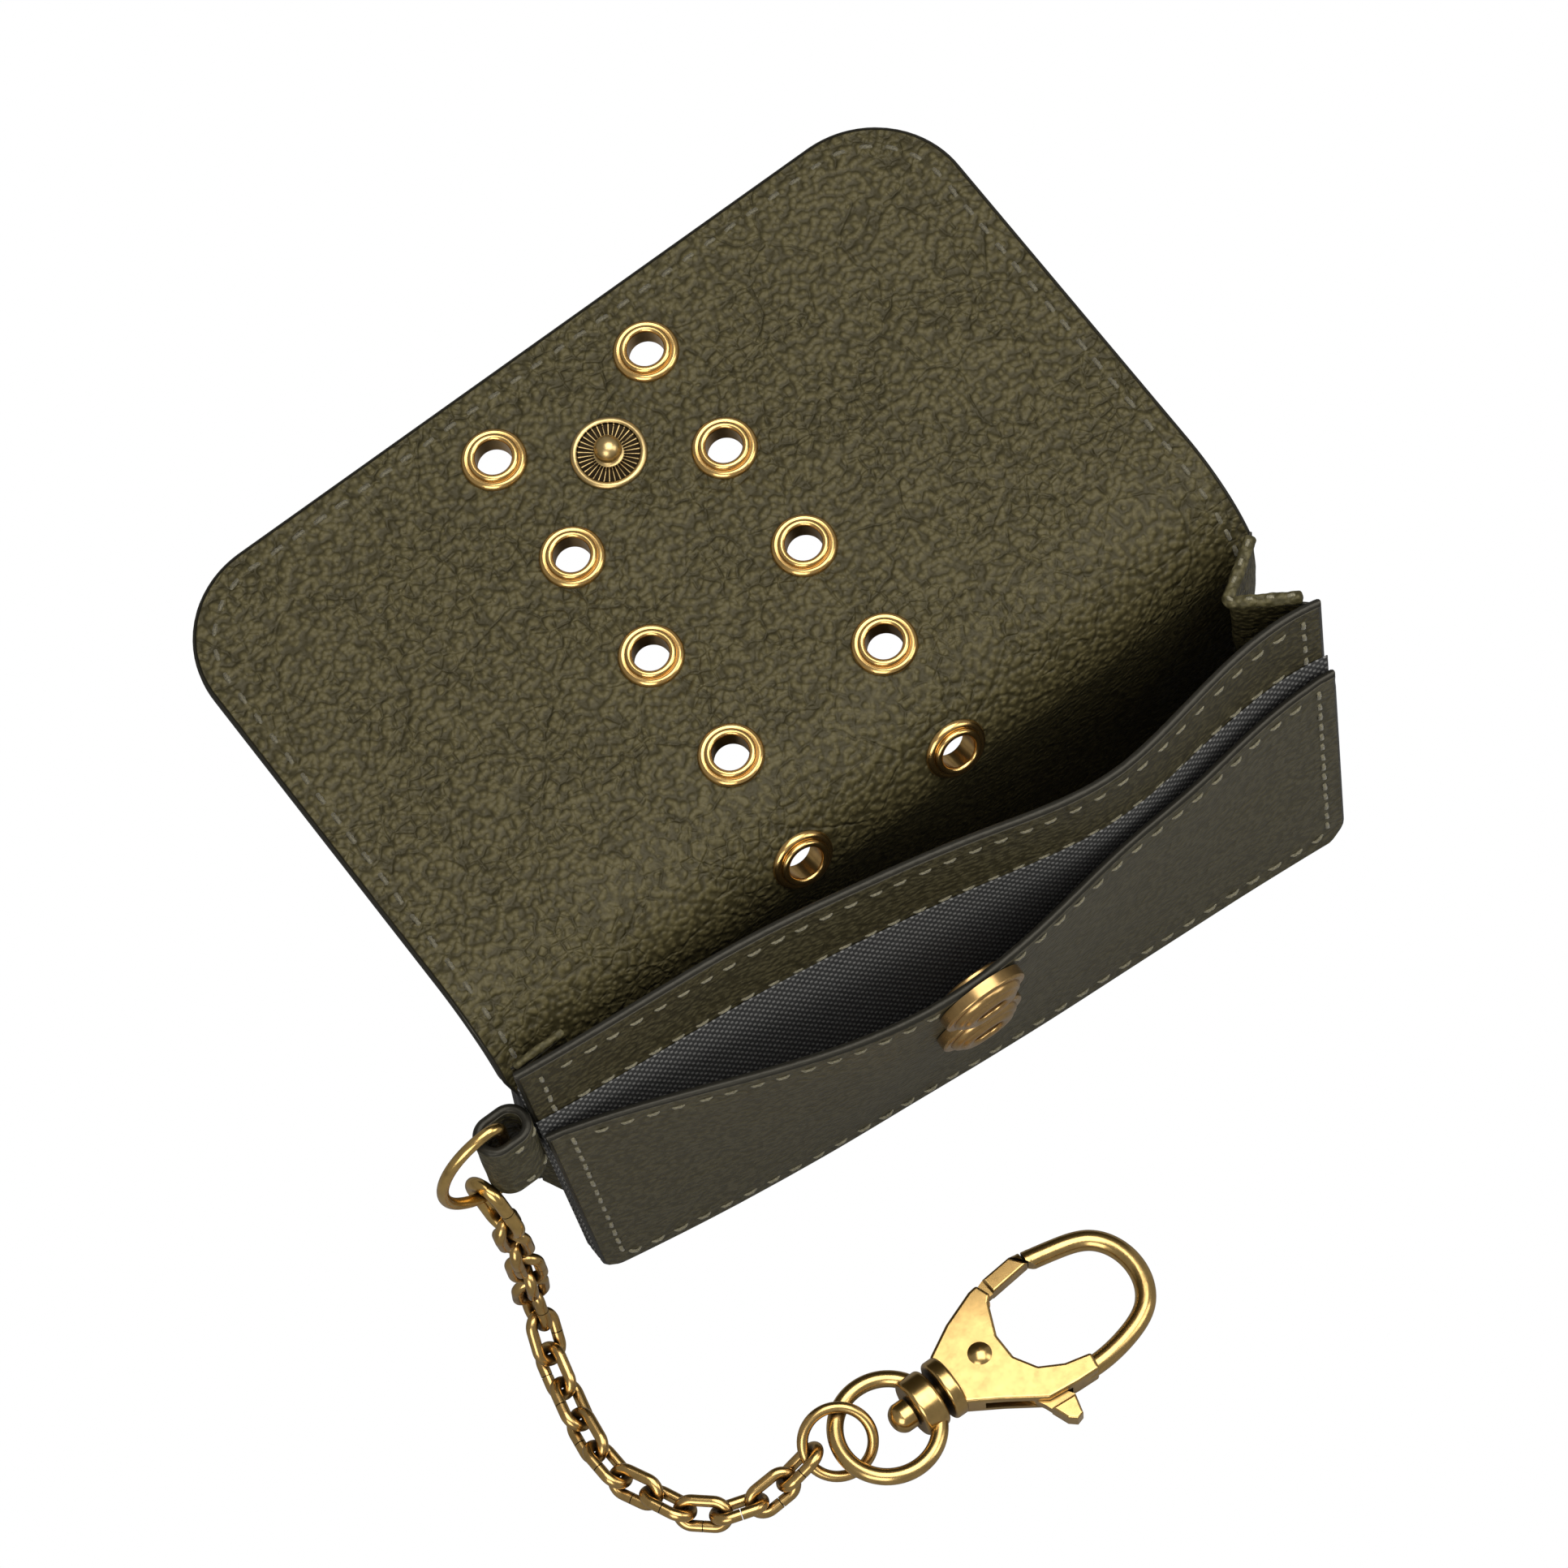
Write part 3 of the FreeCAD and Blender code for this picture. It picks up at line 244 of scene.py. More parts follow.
# %% Stitch builder
def stitches(name, path, normal, pitch=3.2, length=2.5, radius=0.24, lift=0.10):
    """A row of thread stitches along a path of points in millimetres, with the face's normal at each point."""
    path, normal = np.asarray(path, float), np.asarray(normal, float)
    steps = np.linalg.norm(np.diff(path, axis=0), axis=1)
    travelled = np.concatenate([[0], np.cumsum(steps)])
    count = max(1, int(round(travelled[-1] / pitch)))
    pitch = travelled[-1] / count
    rings, sides = 11, 10
    verts, faces = [], []
    turn = np.linspace(0, 2 * math.pi, sides, endpoint=False)
    for i in range(count):
        middle = (i + 0.5) * pitch + rng.uniform(-0.12, 0.12)
        part = np.linspace(-0.5, 0.5, rings)
        at = middle + part * length * rng.uniform(0.95, 1.05)
        centre = np.stack([np.interp(at, travelled, path[:, k]) for k in range(3)], axis=1)
        up = np.stack([np.interp(at, travelled, normal[:, k]) for k in range(3)], axis=1)
        up /= np.linalg.norm(up, axis=1, keepdims=True)
        ahead = np.gradient(centre, axis=0)
        ahead /= np.linalg.norm(ahead, axis=1, keepdims=True)
        side = np.cross(up, ahead)
        skew = rng.uniform(-0.1, 0.1)
        arch = lift - 0.75 * np.abs(part * 2) ** 3.2
        centre = centre + up * arch[:, None] + side * (part * skew * 2)[:, None]
        taper = np.sqrt(np.clip(1 - np.abs(part * 2) ** 4, 0.02, 1))
        twist = turn[None, :] * 2 + part[:, None] * 22
        size = radius * taper[:, None] * (1 + 0.17 * np.cos(twist))
        ring = centre[:, None, :] + size[..., None] * (np.cos(turn)[None, :, None] * side[:, None, :] * 1.1
                                                      + np.sin(turn)[None, :, None] * up[:, None, :] * 0.85)
        base = len(verts) * rings * sides
        verts.append(ring.reshape(-1, 3))
        index = np.arange(rings * sides).reshape(rings, sides) + base
        ahead_index = np.roll(index, -1, axis=1)
        faces += np.stack([index[:-1], index[1:], ahead_index[1:], ahead_index[:-1]], axis=-1).reshape(-1, 4).tolist()
        faces += [index[0].tolist(), index[-1, ::-1].tolist()]
    return make_mesh(name, np.concatenate(verts), faces)


print("stitch tools ready")

# %% [markdown]
# Finishes are written as sums of sockets. The small class lets shader maths read like plain arithmetic.

# %% Shader helpers
class Sock:
    """A node socket that can be added, multiplied and so on."""

    def __init__(self, tree, socket):
        self.tree, self.socket = tree, socket

    def _math(self, operation, *values):
        made = self.tree.nodes.new("ShaderNodeMath")
        made.operation = operation
        for slot, value in zip(made.inputs, values):
            if isinstance(value, Sock):
                self.tree.links.new(value.socket, slot)
            else:
                slot.default_value = value
        return Sock(self.tree, made.outputs[0])

    def __add__(self, other):
        return self._math("ADD", self, other)

    __radd__ = __add__

    def __mul__(self, other):
        return self._math("MULTIPLY", self, other)

    __rmul__ = __mul__

    def __sub__(self, other):
        return self._math("SUBTRACT", self, other)

    def __rsub__(self, other):
        return self._math("SUBTRACT", other, self)

    def sine(self):
        return self._math("SINE", self)

    def smooth(self, low, high):
        made = self.tree.nodes.new("ShaderNodeMapRange")
        made.interpolation_type = "SMOOTHSTEP"
        made.inputs["From Min"].default_value = low
        made.inputs["From Max"].default_value = high
        self.tree.links.new(self.socket, made.inputs["Value"])
        return Sock(self.tree, made.outputs["Result"])


class Finish:
    """One material under construction."""

    def __init__(self, name, **constants):
        self.material = bpy.data.materials.new(name)
        self.material.use_nodes = True
        self.tree = self.material.node_tree
        self.shader = self.tree.nodes["Principled BSDF"]
        for key, value in constants.items():
            self.shader.inputs[key.replace("_", " ")].default_value = value
        self.place = self.add("ShaderNodeTexCoord").outputs["Object"]

    def add(self, kind, outputs=None, **inputs):
        """Any node, with its inputs set from values or sockets."""
        made = self.tree.nodes.new(kind)
        for key, value in inputs.items():
            name = key.replace("_", " ")
            if name not in made.inputs:
                setattr(made, key, value)
            elif isinstance(value, Sock):
                self.tree.links.new(value.socket, made.inputs[name])
            elif hasattr(value, "is_output"):
                self.tree.links.new(value, made.inputs[name])
            else:
                made.inputs[name].default_value = value
        return made if outputs is None else Sock(self.tree, made.outputs[outputs])

    def noise(self, scale, detail=4.0, rough=0.55, distortion=0.0):
        return self.add("ShaderNodeTexNoise", "Fac", Vector=self.place, Scale=scale, Detail=detail, Roughness=rough,
                        Distortion=distortion)

    def cells(self, scale, feature="F1", outputs="Distance", randomness=1.0):
        made = self.tree.nodes.new("ShaderNodeTexVoronoi")
        made.feature = feature
        self.tree.links.new(self.place, made.inputs["Vector"])
        made.inputs["Scale"].default_value = scale
        made.inputs["Randomness"].default_value = randomness
        return Sock(self.tree, made.outputs[outputs])

    def warped(self, scale, wave, reach):
        """Distance from a network of lines whose course wanders by reach metres."""
        drift = self.add("ShaderNodeTexNoise", None, Vector=self.place, Scale=wave, Detail=3.0)
        centred = self.tree.nodes.new("ShaderNodeVectorMath")
        centred.operation = "MULTIPLY_ADD"
        self.tree.links.new(drift.outputs["Color"], centred.inputs[0])
        centred.inputs[1].default_value = (reach, reach, reach)
        self.tree.links.new(self.place, centred.inputs[2])
        made = self.tree.nodes.new("ShaderNodeTexVoronoi")
        made.feature = "DISTANCE_TO_EDGE"
        made.inputs["Scale"].default_value = scale
        self.tree.links.new(centred.outputs[0], made.inputs["Vector"])
        return Sock(self.tree, made.outputs["Distance"])

    def along(self, direction, origin):
        """Distance along a direction from an origin, both in metres."""
        made = self.tree.nodes.new("ShaderNodeVectorMath")
        made.operation = "DOT_PRODUCT"
        self.tree.links.new(self.place, made.inputs[0])
        made.inputs[1].default_value = tuple(direction)
        return Sock(self.tree, made.outputs["Value"]) - float(np.dot(direction, origin))

    def radial(self, origin, first, second, inner, outer, count):
        """A ring's mask and the ribs that radiate in it."""
        u, v = self.along(first, origin), self.along(second, origin)
        squared = u * u + v * v
        radius = squared._math("SQRT", squared)
        angle = u._math("ARCTAN2", v, u)
        ring = radius.smooth(inner, inner + 0.00015) * (1.0 - radius.smooth(outer - 0.00015, outer))
        return ring, (angle * count).sine().smooth(0.55, 0.98)

    def mix(self, factor, first, second):
        made = self.tree.nodes.new("ShaderNodeMix")
        made.data_type = "RGBA"
        for slot, value in ((made.inputs[0], factor), (made.inputs[6], first), (made.inputs[7], second)):
            if isinstance(value, Sock):
                self.tree.links.new(value.socket, slot)
            elif isinstance(value, tuple):
                slot.default_value = (*value, 1.0)
            else:
                slot.default_value = value
        return Sock(self.tree, made.outputs[2])

    def drive(self, name, sock):
        self.tree.links.new(sock.socket, self.shader.inputs[name])

    def bump(self, height, distance, strength=1.0):
        made = self.tree.nodes.new("ShaderNodeBump")
        made.inputs["Strength"].default_value = strength
        made.inputs["Distance"].default_value = distance
        self.tree.links.new(height.socket, made.inputs["Height"])
        self.tree.links.new(made.outputs[0], self.shader.inputs["Normal"])

    def attribute(self, name):
        made = self.tree.nodes.new("ShaderNodeAttribute")
        made.attribute_name = name
        return Sock(self.tree, made.outputs["Fac"])


def leather(name, base, light, edge=(0.014, 0.013, 0.010), grain=1350.0, gloss=0.44, crease=1.0, depth=0.00030):
    """Pebbled leather: fine rounded grains with painted highlights on their tops, patches of wrinkles and a few long
    creases darkened with painted shade, and painted edges.
    """
    made = Finish(name, Roughness=gloss, Specular_IOR_Level=0.30, Specular_Tint=(1.0, 0.93, 0.76, 1.0))
    grains = made.cells(grain, "SMOOTH_F1")
    fine = made.noise(grain * 2.2, 3.0)
    swell = made.noise(70.0, 2.0, 0.45, 0.4)
    patch = made.noise(100.0, 3.0, 0.5, 0.6)
    wrinkle = made.warped(600.0, 300.0, 0.0005).smooth(0.0, 0.15)
    fold = made.warped(105.0, 150.0, 0.0045).smooth(0.0, 0.035)
    wrinkled_patches = patch.smooth(0.40, 0.62) * crease
    hills = 1.0 - grains.smooth(0.10, 0.80)
    lines = (1.0 - wrinkle) * wrinkled_patches
    # Painted highlight: the raised tops of the grains are mixed towards the lighter lit colour, as light would catch
    # them.
    colour = made.mix(hills.smooth(0.15, 0.95) * 0.8 + fine * 0.2, base, light)
    colour = made.mix(patch.smooth(0.55, 0.8) * 0.30, colour, light)
    # Painted shade: the wrinkle lines and the long creases are darkened, as shade falls in them.
    colour = made.mix(lines * 0.20, colour, tuple(c * 0.35 for c in base))
    colour = made.mix((1.0 - fold) * 0.22 * crease, colour, tuple(c * 0.35 for c in base))
    painted = 1.0 - made.attribute("rim").smooth(0.30, 0.55)
    colour = made.mix(painted, colour, edge)
    made.drive("Base Color", colour)
    made.drive("Roughness", gloss + fine * 0.16 - painted * 0.14)
    height = hills * 0.85 + fine * 0.12 + swell * 1.6 - lines * 0.40 + fold * 0.34 * crease
    made.bump(height * (1.0 - painted * 0.9), depth, 1.0)
    return made.material


def brass(name, base, dark, gloss=0.27, wear=1.0, ribs=None):
    """Antique brass: satin gold on the raised faces, brown-black in the recesses that ambient occlusion finds, fine
    scratches.
    """
    made = Finish(name, Metallic=1.0)
    open_sky = made.add("ShaderNodeAmbientOcclusion", "AO", Distance=0.0013)
    stain = made.noise(700.0, 5.0, 0.6)
    speck = made.noise(3000.0, 2.0)
    recess = 1.0 - open_sky.smooth(0.30, 0.80)
    # Darker in the recesses that ambient occlusion finds, plus random stains.
    recess_and_stain_dark = recess * 0.88 + stain.smooth(0.55, 0.85) * 0.18 * wear
    colour = made.mix(stain.smooth(0.3, 0.7), base, tuple(c * 0.80 for c in base))
    colour = made.mix(recess_and_stain_dark, colour, dark)
    height = stain * 0.05 + speck * 0.02
    if ribs is not None:
        shade, radial = made.radial(*ribs)
        colour = made.mix(shade * (1.0 - radial * 0.8), colour, tuple(c * 0.5 for c in dark))
        height = height + shade * radial * 1.2
    made.drive("Base Color", colour)
    made.drive("Roughness", gloss + stain * 0.06 + recess * 0.20)
    made.bump(height, 0.00005, 0.5)
    return made.material


THREAD_TURNS = 2 * math.pi / 0.0010


def woven(name, dark, grey):
    """Plain weave of black and grey threads."""
    made = Finish(name, Roughness=0.85)
    split = made.add("ShaderNodeSeparateXYZ", None, Vector=made.place)
    across = Sock(made.tree, split.outputs["X"])
    up = Sock(made.tree, split.outputs["Z"])
    warp = (across * THREAD_TURNS).sine()
    weft = (up * (THREAD_TURNS * 0.6)).sine()
    over = (warp * weft).smooth(-0.1, 0.75)
    fray = made.noise(1400.0, 3.0)
    colour = made.mix(over * 0.75 + fray * 0.2, dark, grey)
    made.drive("Base Color", colour)
    made.bump(over * 0.7 + fray * 0.5, 0.00012, 0.9)
    return made.material


def thread(name, base, light):
    made = Finish(name, Roughness=0.6)
    made.shader.inputs["Sheen Weight"].default_value = 0.25
    fibre = made.noise(5200.0, 3.0)
    made.drive("Base Color", made.mix(fibre.smooth(0.3, 0.7), base, light))
    made.bump(fibre, 0.00005, 0.7)
    return made.material


print("shader tools ready")

# %% [markdown]
# Olive-black waxed leather for the outside and the facing, a greyer, smoother one for the front pocket, and a
# lighter olive one for the rolled binding. The metal is an antique brass, darker on the snaps and the clasp.

# %% Finishes
TILT_UP = math.radians(TILT)
STUD_REACH = SPINE_REACH + FOLD_GAP + FLAP_REACH - STUD_EDGE
STUD_SPOT = (0.0, (BACK_FACE + BEND_R - math.sin(TILT_UP) * BEND_R + math.cos(TILT_UP) * STUD_REACH) * MM,
             (BACK_TOP + math.cos(TILT_UP) * BEND_R + math.sin(TILT_UP) * STUD_REACH) * MM)
STUD_RIBS = (STUD_SPOT, (1.0, 0.0, 0.0), (0.0, math.cos(TILT_UP), math.sin(TILT_UP)), 0.0017, 0.0039, 34.0)
# OLIVE_LIT is the painted highlight colour of the grain tops. It also tints random lighter patches.
OLIVE, OLIVE_LIT = (0.024, 0.0195, 0.0066), (0.074, 0.061, 0.024)
LOOKS = {
    "facing_leather": leather("facing_leather", OLIVE, OLIVE_LIT),
    "outer_leather": leather("outer_leather", OLIVE, OLIVE_LIT),
    "divider_leather": leather("divider_leather", (0.026, 0.021, 0.0078), (0.064, 0.054, 0.024), crease=0.5),
    "front_leather": leather("front_leather", (0.040, 0.034, 0.0165), (0.076, 0.066, 0.036), gloss=0.42, crease=0.55,
                             depth=0.00018),
    "gusset_leather": leather("gusset_leather", OLIVE, OLIVE_LIT),
    "tab_leather": leather("tab_leather", (0.034, 0.029, 0.014), (0.070, 0.062, 0.033), crease=0.5),
    "binding_leather": leather("binding_leather", (0.034, 0.029, 0.011), (0.088, 0.075, 0.033), crease=0.4),
    "woven_lining": woven("woven_lining", (0.006, 0.006, 0.006), (0.23, 0.225, 0.21)),
    "eyelet_brass": brass("eyelet_brass", (0.74, 0.465, 0.165), (0.12, 0.058, 0.018), 0.19),
    "stud_brass": brass("stud_brass", (0.62, 0.44, 0.19), (0.030, 0.020, 0.010), 0.30, ribs=STUD_RIBS),
    "socket_brass": brass("socket_brass", (0.52, 0.33, 0.13), (0.025, 0.015, 0.008), 0.25),
    "ring_brass": brass("ring_brass", (0.66, 0.43, 0.145), (0.06, 0.033, 0.012), 0.19),
    "chain_brass": brass("chain_brass", (0.60, 0.385, 0.140), (0.045, 0.025, 0.011), 0.20),
    "clasp_brass": brass("clasp_brass", (0.60, 0.395, 0.145), (0.035, 0.020, 0.009), 0.20),
}
THREAD = thread("olive_thread", (0.095, 0.084, 0.045), (0.21, 0.185, 0.11))
DARK_THREAD = thread("dark_thread", (0.045, 0.038, 0.017), (0.115, 0.100, 0.055))
slots = {item["node"]: item["material_slot"] for item in frame["record"]["subparts"]}
for name, obj in NODES.items():
    obj.data.materials.clear()
    obj.data.materials.append(LOOKS[slots[name]])
print(len(LOOKS), "finishes on", len(NODES), "nodes")


def finished(obj, slot):
    obj.data.materials.append(LOOKS[slot])
    return obj


def sewn(obj, material=None):
    obj.data.materials.append(material or THREAD)
    return obj

# %% [markdown]
# The body's walls: the front pocket bulges forward at its mouth, the divider swells on the right, and each has
# a lining behind it. The leather is shaped by use, so it gets soft swells, and dips along its stitches.

# %% Body walls
def wall_points(face, low, high, depth, step=1.0, drop=0.0):
    """Middle surface of a wall at a depth behind its face, with each point's distance from the edge."""
    heights = spaced(high - low, step) + low
    width = 2 * half_width(high)
    columns = spaced(width, step) / width * 2 - 1
    basis = spline_basis(columns)
    rows = []
    for z in heights:
        x = columns * (half_width(z) - foot_trim(z))
        rows.append(np.stack([x, basis @ face(z) + depth, np.full_like(x, z)], axis=1))
    surface = np.array(rows)
    from_side = (1 - np.abs(columns))[None, :] * half_width(high)
    edge = np.minimum(from_side, np.minimum(heights - low, high - heights)[:, None])
    return surface, np.broadcast_to(edge, surface.shape[:2]).copy()


def stitch_dips(surface, edge, low):
    """Pucker along both side seams and the foot, measured along the seam."""
    x, z = surface[..., 0], surface[..., 2]
    side_edge = half_width(TALL) - np.abs(x)
    foot_edge = z - low
    top_edge = POCKET - z
    return pucker(side_edge, z) + pucker(foot_edge, x, line=3.4) + pucker(top_edge, x, line=2.6, depth=0.16)


def wall_piece(name, nodes, slot, face, low, high, depth, thickness, swell, seed, seams=True):
    surface, edge = wall_points(face, low, high, depth + thickness / 2)
    x, z = surface[..., 0], surface[..., 2]
    calm = np.clip(edge / 7.0, 0, 1)
    bump = smooth_noise(x, z, 26.0, seed) * swell * calm + smooth_noise(x, z, 9.0, seed + 1) * swell * 0.35 * calm
    if seams:
        bump = bump + stitch_dips(surface, edge, low)
    obj = sheet(name, surface, thickness, edge, bump)
    finished(obj, slot)
    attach(obj, "wallet")
    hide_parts(*nodes)


FLOOR = BASE_SHEET + SEAM
wall_piece("front_pocket_wall", ["front_panel"], "front_leather", front_face, FLOOR, POCKET, 0.0, LEATHER, 0.22, 11)
wall_piece("divider_wall", ["divider_panel"], "divider_leather", divider_face, FLOOR, TALL, 0.0, LEATHER, 0.16, 21,
           seams=False)
wall_piece("pocket_lining", ["front_pocket_lining"], "woven_lining", front_face, FLOOR, POCKET - 6.0,
           LEATHER + SEAM, WOVEN, 0.05, 31, seams=False)
wall_piece("divider_front_lining", ["divider_lining"], "woven_lining", divider_face, FLOOR, TALL - 15.0,
           -LINING, WOVEN, 0.05, 41, seams=False)
wall_piece("compartment_back_lining", ["compartment_lining"], "woven_lining", divider_face, FLOOR, TALL - 6.0,
           LEATHER + SEAM, WOVEN, 0.05, 51, seams=False)


def wall_line(face, places, depth):
    """Points and outward normals of a wall's face at (x, z) places, lifted off the face."""
    points, outward = [], []
    for x, z in places:
        side = x / half_width(z)
        basis = spline_basis([side, min(1.0, side + 0.01)])
        here, beside = basis @ face(z)
        above = float(spline_basis(side)[0] @ face(z + 1.0))
        across = np.array([0.01 * half_width(z), beside - here, 0]) if side < 0.99 else np.array([1.0, 0, 0])
        up = np.array([0, above - here, 1.0])
        normal = np.cross(across, up)
        normal /= np.linalg.norm(normal)
        points.append(np.array([x, here + depth, z]))
        outward.append(normal)
    return np.array(points), np.array(outward)


def seam_places(low, high, inset, foot):
    """Down the left seam, along the foot and up the right seam."""
    down = [(-(half_width(z) - inset), z) for z in np.linspace(high, foot + 1.6, 40)]
    along = [(x, foot) for x in np.linspace(-half_width(foot) + inset + 1.6, half_width(foot) - inset - 1.6, 60)]
    up = [(half_width(z) - inset, z) for z in np.linspace(foot + 1.6, high, 40)]
    return down + along + up


points, outward = wall_line(front_face, seam_places(FLOOR, POCKET - 1.6, 2.7, FLOOR + 3.4), 0.0)
seam_row = sewn(stitches("front_seam_stitches", points, outward))
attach(seam_row, "wallet")
for side in (-1, 1):
    places = [(side * (half_width(z) - 2.7), z) for z in np.linspace(POCKET + 1.8, TALL - 1.8, 12)]
    points, outward = wall_line(divider_face, places, 0.0)
    row = sewn(stitches(f"divider_seam_stitches_{'right' if side > 0 else 'left'}", points, outward))
    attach(row, "wallet")
for tag, face, z, slot, ends in (("divider_top", divider_face, TALL - 3.2, "divider_leather", 4.5),
                                 ("lining_top", divider_face, TALL - 14.4, "divider_leather", 5.0),
                                 ("pocket_top", front_face, POCKET - 2.6, "front_leather", 4.5)):
    span = half_width(z) - ends
    points, outward = wall_line(face, [(x, z) for x in np.linspace(-span, span, 90)], 0.0)
    row = sewn(stitches(f"{tag}_stitches", points, outward, radius=0.21))
    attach(row, "wallet")
print("walls made")

# %% [markdown]
# The base is one flat sheet under the walls. It is hardly seen, but it carries everything.

# %% Base
def flat_grid(left, right, front_of, back_of, z, step=1.2):
    columns = spaced(right - left, step) + left
    parts = spaced(14.0, step) / 14.0
    rows = []
    for part in parts:
        rows.append(np.stack([columns, front_of(columns) + (back_of(columns) - front_of(columns)) * part,
                              np.full_like(columns, z)], axis=1))
    surface = np.array(rows)
    depth = (back_of(columns) - front_of(columns))[None, :]
    from_side = np.minimum(columns - left, right - columns)[None, :]
    edge = np.minimum(np.minimum(parts, 1 - parts)[:, None] * depth, from_side)
    return surface, edge


foot_half = half_width(0) - 7.0
base_front = lambda x: spline_basis(x / foot_half) @ front_face(0) + 1.2
base_back = lambda x: spline_basis(x / foot_half) @ back_face(0) + BACK_STACK
surface, edge = flat_grid(-foot_half, foot_half, base_front, base_back, BASE_SHEET / 2)
base = finished(sheet("base_sheet", surface, BASE_SHEET, edge), "outer_leather")
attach(base, "wallet")
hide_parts("base_panel")
print("base made")

# %% [markdown]
# The back wall, the bend and the flap are one double sheet on the real wallet. It is made here in three lengths,
# cut inside the round bend and just past it, and their ends meet edge to edge. The facing is uppermost.

# %% Back wall, bend and flap
CENTRE_Y, CENTRE_Z = BACK_FACE + BEND_R, BACK_TOP
HOLE_RADIUS, EYELET_STEP, EYELET_EDGE, EYELET_SIDE = 3.0, 15.9, 9.4, 11.2
FLAT_ANGLE = 90.0 - TILT
ARC = math.radians(FLAT_ANGLE) * BEND_R
STRAIGHT = SPINE_REACH + FOLD_GAP + FLAP_REACH
CUT_ONE = math.radians(50.0) * BEND_R
CUT_TWO = ARC + 6.0


def bend_point(travel, depth):
    """(y, z) and outward normal at a distance along the sheet above the back wall, at a depth under its face."""
    if travel <= ARC:
        turn = travel / BEND_R
        out = np.array([-math.cos(turn), math.sin(turn)])
        return np.array([CENTRE_Y, CENTRE_Z]) + out * (BEND_R - depth), out
    tilt = math.radians(TILT)
    out = np.array([-math.sin(tilt), math.cos(tilt)])
    ahead = np.array([math.cos(tilt), math.sin(tilt)])
    return np.array([CENTRE_Y, CENTRE_Z]) + out * (BEND_R - depth) + ahead * (travel - ARC), out


def eyelet_axis(distance, x):
    point, out = bend_point(ARC + STRAIGHT - distance, 0.95)
    return np.array([x, point[0], point[1]]), np.array([0.0, out[0], out[1]])


EYELETS = [eyelet_axis(EYELET_EDGE + EYELET_STEP * i, x) for i in range(5) for x in (-EYELET_SIDE, EYELET_SIDE)]
STUD = eyelet_axis(STUD_EDGE, 0.0)


def flap_length(name, start, stop, depth, thickness, seed, slot, nodes, step=0.95):
    """One length of the double sheet. start and stop are distances above the back wall's top; below 0 is the wall."""
    free = stop >= ARC + STRAIGHT - 1e-6
    travels = np.linspace(start, stop, int((stop - start) / step) + 1)
    if free:
        near = np.array([0.0, 0.03, 0.1, 0.22, 0.4, 0.62, 0.85, 1.2, 1.7, 2.3])
        travels = np.concatenate([travels[travels < stop - 2.6], stop - near[::-1]])
    if start < 0:
        near = np.array([0.0, 0.03, 0.1, 0.22, 0.4, 0.62, 0.85])
        travels = np.concatenate([start + near, travels[travels > start + 1.2]])
    half = WIDTH / 2
    rim = np.array([0.0, 0.03, 0.1, 0.22, 0.4, 0.62, 0.85, 1.2, 1.7]) / half
    inner = np.linspace(-1 + 2.4 / half, 1 - 2.4 / half, 108)
    columns = np.concatenate([-1 + rim, inner, 1 - rim[::-1]])
    rows, edges = [], []
    for travel in travels:
        left = ARC + STRAIGHT - travel
        here = half
        if left < CORNER:
            here = half - CORNER + math.sqrt(max(CORNER ** 2 - (CORNER - left) ** 2, 0))
        if travel < 0:
            z = BACK_TOP + travel
            here = half_width(z) - foot_trim(z)
            y = spline_basis(columns) @ back_face(z) + depth + thickness / 2
            x = columns * here
            rows.append(np.stack([x, y, np.full_like(x, z)], axis=1))
        else:
            point, _ = bend_point(travel, depth + thickness / 2)
            blend_in = min(1.0, travel / 4.0)
            here = half_width(BACK_TOP) + (here - half_width(BACK_TOP)) * blend_in if travel < 4.0 else here
            x = columns * here
            rows.append(np.stack([x, np.full_like(x, point[0]), np.full_like(x, point[1])], axis=1))
        side = here - np.abs(x)
        if left < CORNER:
            out = np.abs(x) > half - CORNER
            reach = np.hypot(np.abs(x) - (half - CORNER), CORNER - left)
            side = np.where(out, CORNER - reach, left)
        edges.append(np.minimum(side, left) if free else side)
    surface, edge = np.array(rows), np.maximum(np.array(edges), 0)
    if start < 0:
        edge = np.minimum(edge, (travels - start)[:, None])
    x, along = surface[..., 0], np.broadcast_to(travels[:, None], surface.shape[:2])
    calm = np.clip(edge / 6.0, 0, 1)
    bump = (smooth_noise(x, along, 30.0, 61) * 0.16 + smooth_noise(x, along, 10.0, 62) * 0.05) * calm
    follow = np.where(np.abs(x) > half - CORNER, along, x)
    bump = bump + pucker(edge, follow, depth=0.09)
    ease = np.ones_like(along)
    for origin, axis in EYELETS + [STUD]:
        away = np.linalg.norm(surface - origin, axis=2)
        ease *= np.clip((away - 4.2) / 3.0, 0, 1)
        bump = bump - 0.12 * np.exp(-((away - 4.6) / 0.8) ** 2)
    obj = sheet(name, surface, thickness, edge, bump * ease, EYELETS + [STUD], HOLE_RADIUS, flip=True)
    finished(obj, slot)
    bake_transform(obj)
    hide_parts(*nodes)


def metre_point(travel):
    point, _ = bend_point(travel, 0.0)
    return (0.0, point[0] * MM, point[1] * MM)


